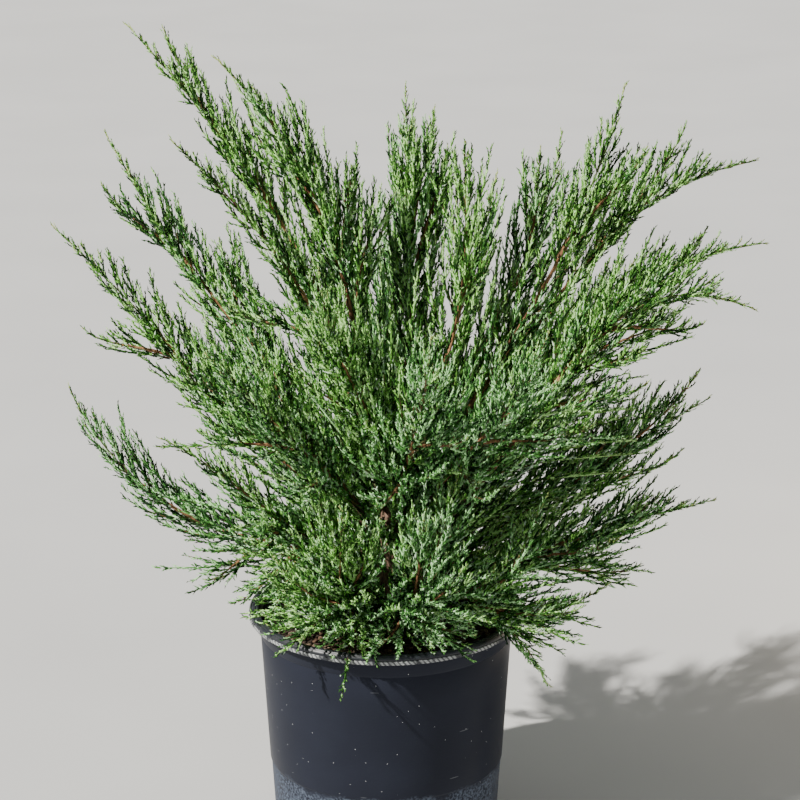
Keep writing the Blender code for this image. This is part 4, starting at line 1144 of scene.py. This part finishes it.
def wall_radius(height):
    return WALL_RADIUS_FOOT + (WALL_RADIUS_TOP - WALL_RADIUS_FOOT) * height / POT_HEIGHT


def draw_ring(before, after):
    """Extrudes the picked cap to the next ring of a turned piece."""
    rise = after[1] - before[1]
    bpy.ops.mesh.extrude_region_move(TRANSFORM_OT_translate={"value": (0, 0, rise)})
    grow = after[0] / before[0]
    bpy.ops.transform.resize(value=(grow, grow, 1), center_override=(0, 0, after[1]))


def finish_piece(obj, name, material, smooth_angle):
    bpy.ops.object.mode_set(mode="OBJECT")
    obj.name = name
    obj.data.name = name
    obj.data.materials.append(material)
    bpy.ops.object.transform_apply(location=True, rotation=True, scale=True)
    bpy.ops.object.shade_smooth_by_angle(angle=math.radians(smooth_angle))
    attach(obj, "root")


def add_pot():
    """The can drawn up ring by ring, over its lip and down inside, with a ribbed hem under the lip."""
    deselect()
    rings = outer_wall_rings() + lip_rings() + inner_wall_rings()
    foot = WALL_RADIUS_FOOT - FOOT_CHAMFER
    height = rings[0][1]
    bpy.ops.mesh.primitive_cylinder_add(vertices=POT_STEPS, radius=foot, depth=height, location=(0, 0, height / 2))
    pot = bpy.context.object
    bpy.ops.object.transform_apply(location=True)
    bpy.ops.object.mode_set(mode="EDIT")
    pick(pot, "faces", lambda face: face.normal.z > 0.9)
    bpy.ops.transform.resize(value=(rings[0][0] / foot, rings[0][0] / foot, 1), center_override=(0, 0, height))
    for before, after in zip(rings, rings[1:]):
        draw_ring(before, after)
    rib_hem(pot)
    bpy.ops.mesh.select_all(action="SELECT")
    bpy.ops.mesh.normals_make_consistent(inside=False)
    finish_piece(pot, "pot_can", plastic_material(), 40)
    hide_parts("pot")


def rib_hem(pot):
    """Every second corner of the hem is drawn in, the upper ring one corner on, so that its ribs slant."""
    for offset, height in enumerate(HEM_RINGS):
        level = POT_HEIGHT + height

        def on_rib(vert):
            step = round(vert_turn(vert) * POT_STEPS / math.tau) + offset
            return abs(vert.co.z - level) < 0.0002 and vert.co.xy.length > LIP_RADIUS - 0.001 and step % 2 == 0

        pick(pot, "verts", on_rib)
        shrink = 1 - RIB_DEPTH / LIP_RADIUS
        bpy.ops.transform.resize(value=(shrink, shrink, 1), center_override=(0, 0, level))


SOIL_RINGS = 22
SOIL_STEPS = 88
SOIL_DEPTH = 0.016
SOIL_ROUGHNESS = 0.0020
MOUND_RISE = 0.0030
CHIP_SIZE = (0.0075, 0.0042, 0.0020)
CHIP_COUNT = 900


def add_soil():
    """The level bed of bark mix, insetted ring by ring, roughened and raised a little round the trunk."""
    deselect()
    edge = wall_radius(SOIL_TOP) - WALL - 0.0012
    bpy.ops.mesh.primitive_cylinder_add(vertices=SOIL_STEPS, radius=edge, depth=SOIL_DEPTH,
                                        location=(0, 0, SOIL_TOP - SOIL_DEPTH / 2 - SOIL_ROUGHNESS))
    bed = bpy.context.object
    bpy.ops.object.transform_apply(location=True)
    bpy.ops.object.mode_set(mode="EDIT")
    pick(bed, "faces", lambda face: face.normal.z > 0.9)
    for _ in range(SOIL_RINGS):
        bpy.ops.mesh.inset(thickness=edge / (SOIL_RINGS + 1))
    bpy.ops.mesh.poke()
    top = SOIL_TOP - SOIL_ROUGHNESS
    pick(bed, "verts", lambda vert: abs(vert.co.z - top) < 0.0001 and vert.co.xy.length < edge * 0.985)
    bpy.ops.transform.vertex_random(offset=SOIL_ROUGHNESS, uniform=0.6, seed=5)
    pick(bed, "verts", lambda vert: vert.co.z > SOIL_TOP - SOIL_DEPTH / 2 and vert.co.xy.length < 0.05)
    bpy.ops.transform.translate(value=(0, 0, MOUND_RISE))
    finish_piece(bed, "soil_bed", chip_material("bark_fines", (0.018, 0.012, 0.008), (0.095, 0.062, 0.040)), 60)
    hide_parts("soil")
    add_chips()


def chip_unit():
    """One chip of bark: a slab with a split end and broken corners."""
    deselect()
    bpy.ops.mesh.primitive_cube_add(size=1.0, location=(0, 0, 0))
    chip = bpy.context.object
    bpy.ops.object.mode_set(mode="EDIT")
    bpy.ops.mesh.select_all(action="SELECT")
    bpy.ops.transform.vertex_random(offset=0.22, seed=3)
    bpy.ops.mesh.select_all(action="SELECT")
    bpy.ops.mesh.bisect(plane_co=(0.32, 0.2, 0), plane_no=(0.8, 0.6, 0.1), use_fill=True, clear_outer=True)
    bpy.ops.mesh.select_all(action="SELECT")
    bpy.ops.transform.resize(value=CHIP_SIZE, center_override=(0, 0, 0))
    bpy.ops.object.mode_set(mode="OBJECT")
    return taken_apart(chip)


def add_chips():
    """Loose chips on the bed, of three sorts, lying flat and turned at random."""
    points, faces = chip_unit()
    state = np.random.default_rng(21)
    sorts = (
        ("chips_dark", (0.022, 0.015, 0.010), (0.085, 0.055, 0.036)),
        ("chips_brown", (0.060, 0.032, 0.018), (0.200, 0.120, 0.075)),
        ("chips_pale", (0.130, 0.085, 0.055), (0.380, 0.280, 0.200)),
    )
    for (name, dark, light), share in zip(sorts, (0.5, 0.35, 0.15)):
        parts = []
        for _ in range(round(CHIP_COUNT * share)):
            radius = (wall_radius(SOIL_TOP) - WALL - 0.009) * math.sqrt(state.uniform(0.03, 1.0))
            turn = state.uniform(0, math.tau)
            tilt = Matrix.Rotation(state.uniform(0, math.tau), 3, "Z")
            tilt = tilt @ Matrix.Rotation(state.uniform(-0.5, 0.5), 3, "X") @ Matrix.Rotation(state.uniform(-0.4, 0.4), 3, "Y")
            place = (radius * math.cos(turn), radius * math.sin(turn), SOIL_TOP + state.uniform(-0.0008, 0.0012))
            size = state.uniform(0.5, 1.6)
            parts.append((points @ np.array(tilt).T * size + place, faces))
        joined_piece(name, *stacked(parts), chip_material(name, dark, light), "soil")


TRUNK_STEPS = 28
TRUNK_LEVELS = 26
TRUNK_RELIEF = 0.0022


def add_trunk(bark):
    """The trunk drawn up from its flat cut, leaning and flared, with fissures and strips raised on its bark."""
    deselect()
    foot = SOIL_TOP + GAP
    levels = [foot + (TRUNK_TOP - foot) * (k / TRUNK_LEVELS) ** 1.4 for k in range(1, TRUNK_LEVELS + 1)]
    start = levels[0] - foot
    bpy.ops.mesh.primitive_cylinder_add(vertices=TRUNK_STEPS, radius=trunk_radius(foot), depth=start,
                                        location=(0, 0, foot + start / 2))
    trunk = bpy.context.object
    bpy.ops.object.transform_apply(location=True)
    bpy.ops.object.mode_set(mode="EDIT")
    pick(trunk, "faces", lambda face: face.normal.z > 0.9)
    before = levels[0]
    for level in levels[1:]:
        lean = trunk_centre(level) - trunk_centre(before)
        bpy.ops.mesh.extrude_region_move(TRANSFORM_OT_translate={"value": tuple(lean)})
        grow = trunk_radius(level) / trunk_radius(before)
        bpy.ops.transform.resize(value=(grow, grow, 1), center_override=tuple(trunk_centre(level)))
        before = level
    pick(trunk, "verts", lambda vert: round(vert_turn(vert) * TRUNK_STEPS / math.tau) % 3 == 0)
    bpy.ops.transform.resize(value=(0.93, 0.93, 1), center_override=tuple(trunk_centre((foot + TRUNK_TOP) / 2)))
    pick(trunk, "verts", lambda vert: foot + 0.001 < vert.co.z < TRUNK_TOP - 0.001)
    bpy.ops.transform.vertex_random(offset=TRUNK_RELIEF, uniform=0.7, seed=9)
    bpy.ops.mesh.select_all(action="SELECT")
    bpy.ops.mesh.normals_make_consistent(inside=False)
    finish_piece(trunk, "trunk_wood", bark, 60)
    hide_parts("trunk")


def add_studio():
    """A plain pale floor, soft air and one key light from the left in front."""
    deselect()
    bpy.ops.mesh.primitive_plane_add(size=12, location=(0, 0, 0))
    floor = bpy.context.object
    floor.name = "studio_floor"
    material, tree, shader, coords = new_material("floor_paint")
    tone = placed_group(tree, GRAIN, Vector=coords, Scale=3.0, Detail=2.0, Low=0.3, High=0.7)
    tree.links.new(blended(tree, tone["Mask"], (0.60, 0.60, 0.59), (0.64, 0.64, 0.63)), shader["Base Color"])
    shader["Roughness"].default_value = 0.9
    floor.data.materials.append(material)
    world = bpy.data.worlds.new("studio_air")
    world.use_nodes = True
    world.node_tree.nodes["Background"].inputs["Color"].default_value = (0.86, 0.93, 1.0, 1)
    world.node_tree.nodes["Background"].inputs["Strength"].default_value = 0.29
    bpy.context.scene.world = world
    key = bpy.data.lights.new("key_light", "SUN")
    key.energy = 7.2
    key.angle = math.radians(1.5)
    key.color = (1.0, 0.96, 0.90)
    lamp = bpy.data.objects.new("key_light", key)
    lamp.rotation_euler = (math.radians(46), 0, math.radians(-62))
    bpy.context.scene.collection.objects.link(lamp)
    strip = bpy.data.lights.new("warm_strip", "AREA")
    strip.shape = "RECTANGLE"
    strip.size = 0.16
    strip.size_y = 0.50
    strip.energy = 6.0
    strip.color = (1.0, 0.80, 0.52)
    side = bpy.data.objects.new("warm_strip", strip)
    side.location = (1.30, 0.75, 0.28)
    side.rotation_euler = Vector((-1.30, -0.75, -0.15)).to_track_quat("-Z", "Y").to_euler()
    bpy.context.scene.collection.objects.link(side)


CAMERA_PLACE = (0.0, -2.6622, 1.2887)
CAMERA_AIM = (0.00511, 0.95463, -0.29775)
CAMERA_LENS = 126.0
CAMERA_SENSOR = 36.0


def add_camera():
    data = bpy.data.cameras.new("photo_camera")
    data.sensor_width = CAMERA_SENSOR
    data.lens = CAMERA_LENS
    camera = bpy.data.objects.new("photo_camera", data)
    camera.location = CAMERA_PLACE
    camera.rotation_euler = Vector(CAMERA_AIM).to_track_quat("-Z", "Y").to_euler()
    bpy.context.scene.collection.objects.link(camera)
    bpy.context.scene.camera = camera


GRAIN = grain_group()
ROUND_WALL = round_wall_group()
add_camera()
add_studio()
add_pot()
add_soil()
add_trunk(add_plant())
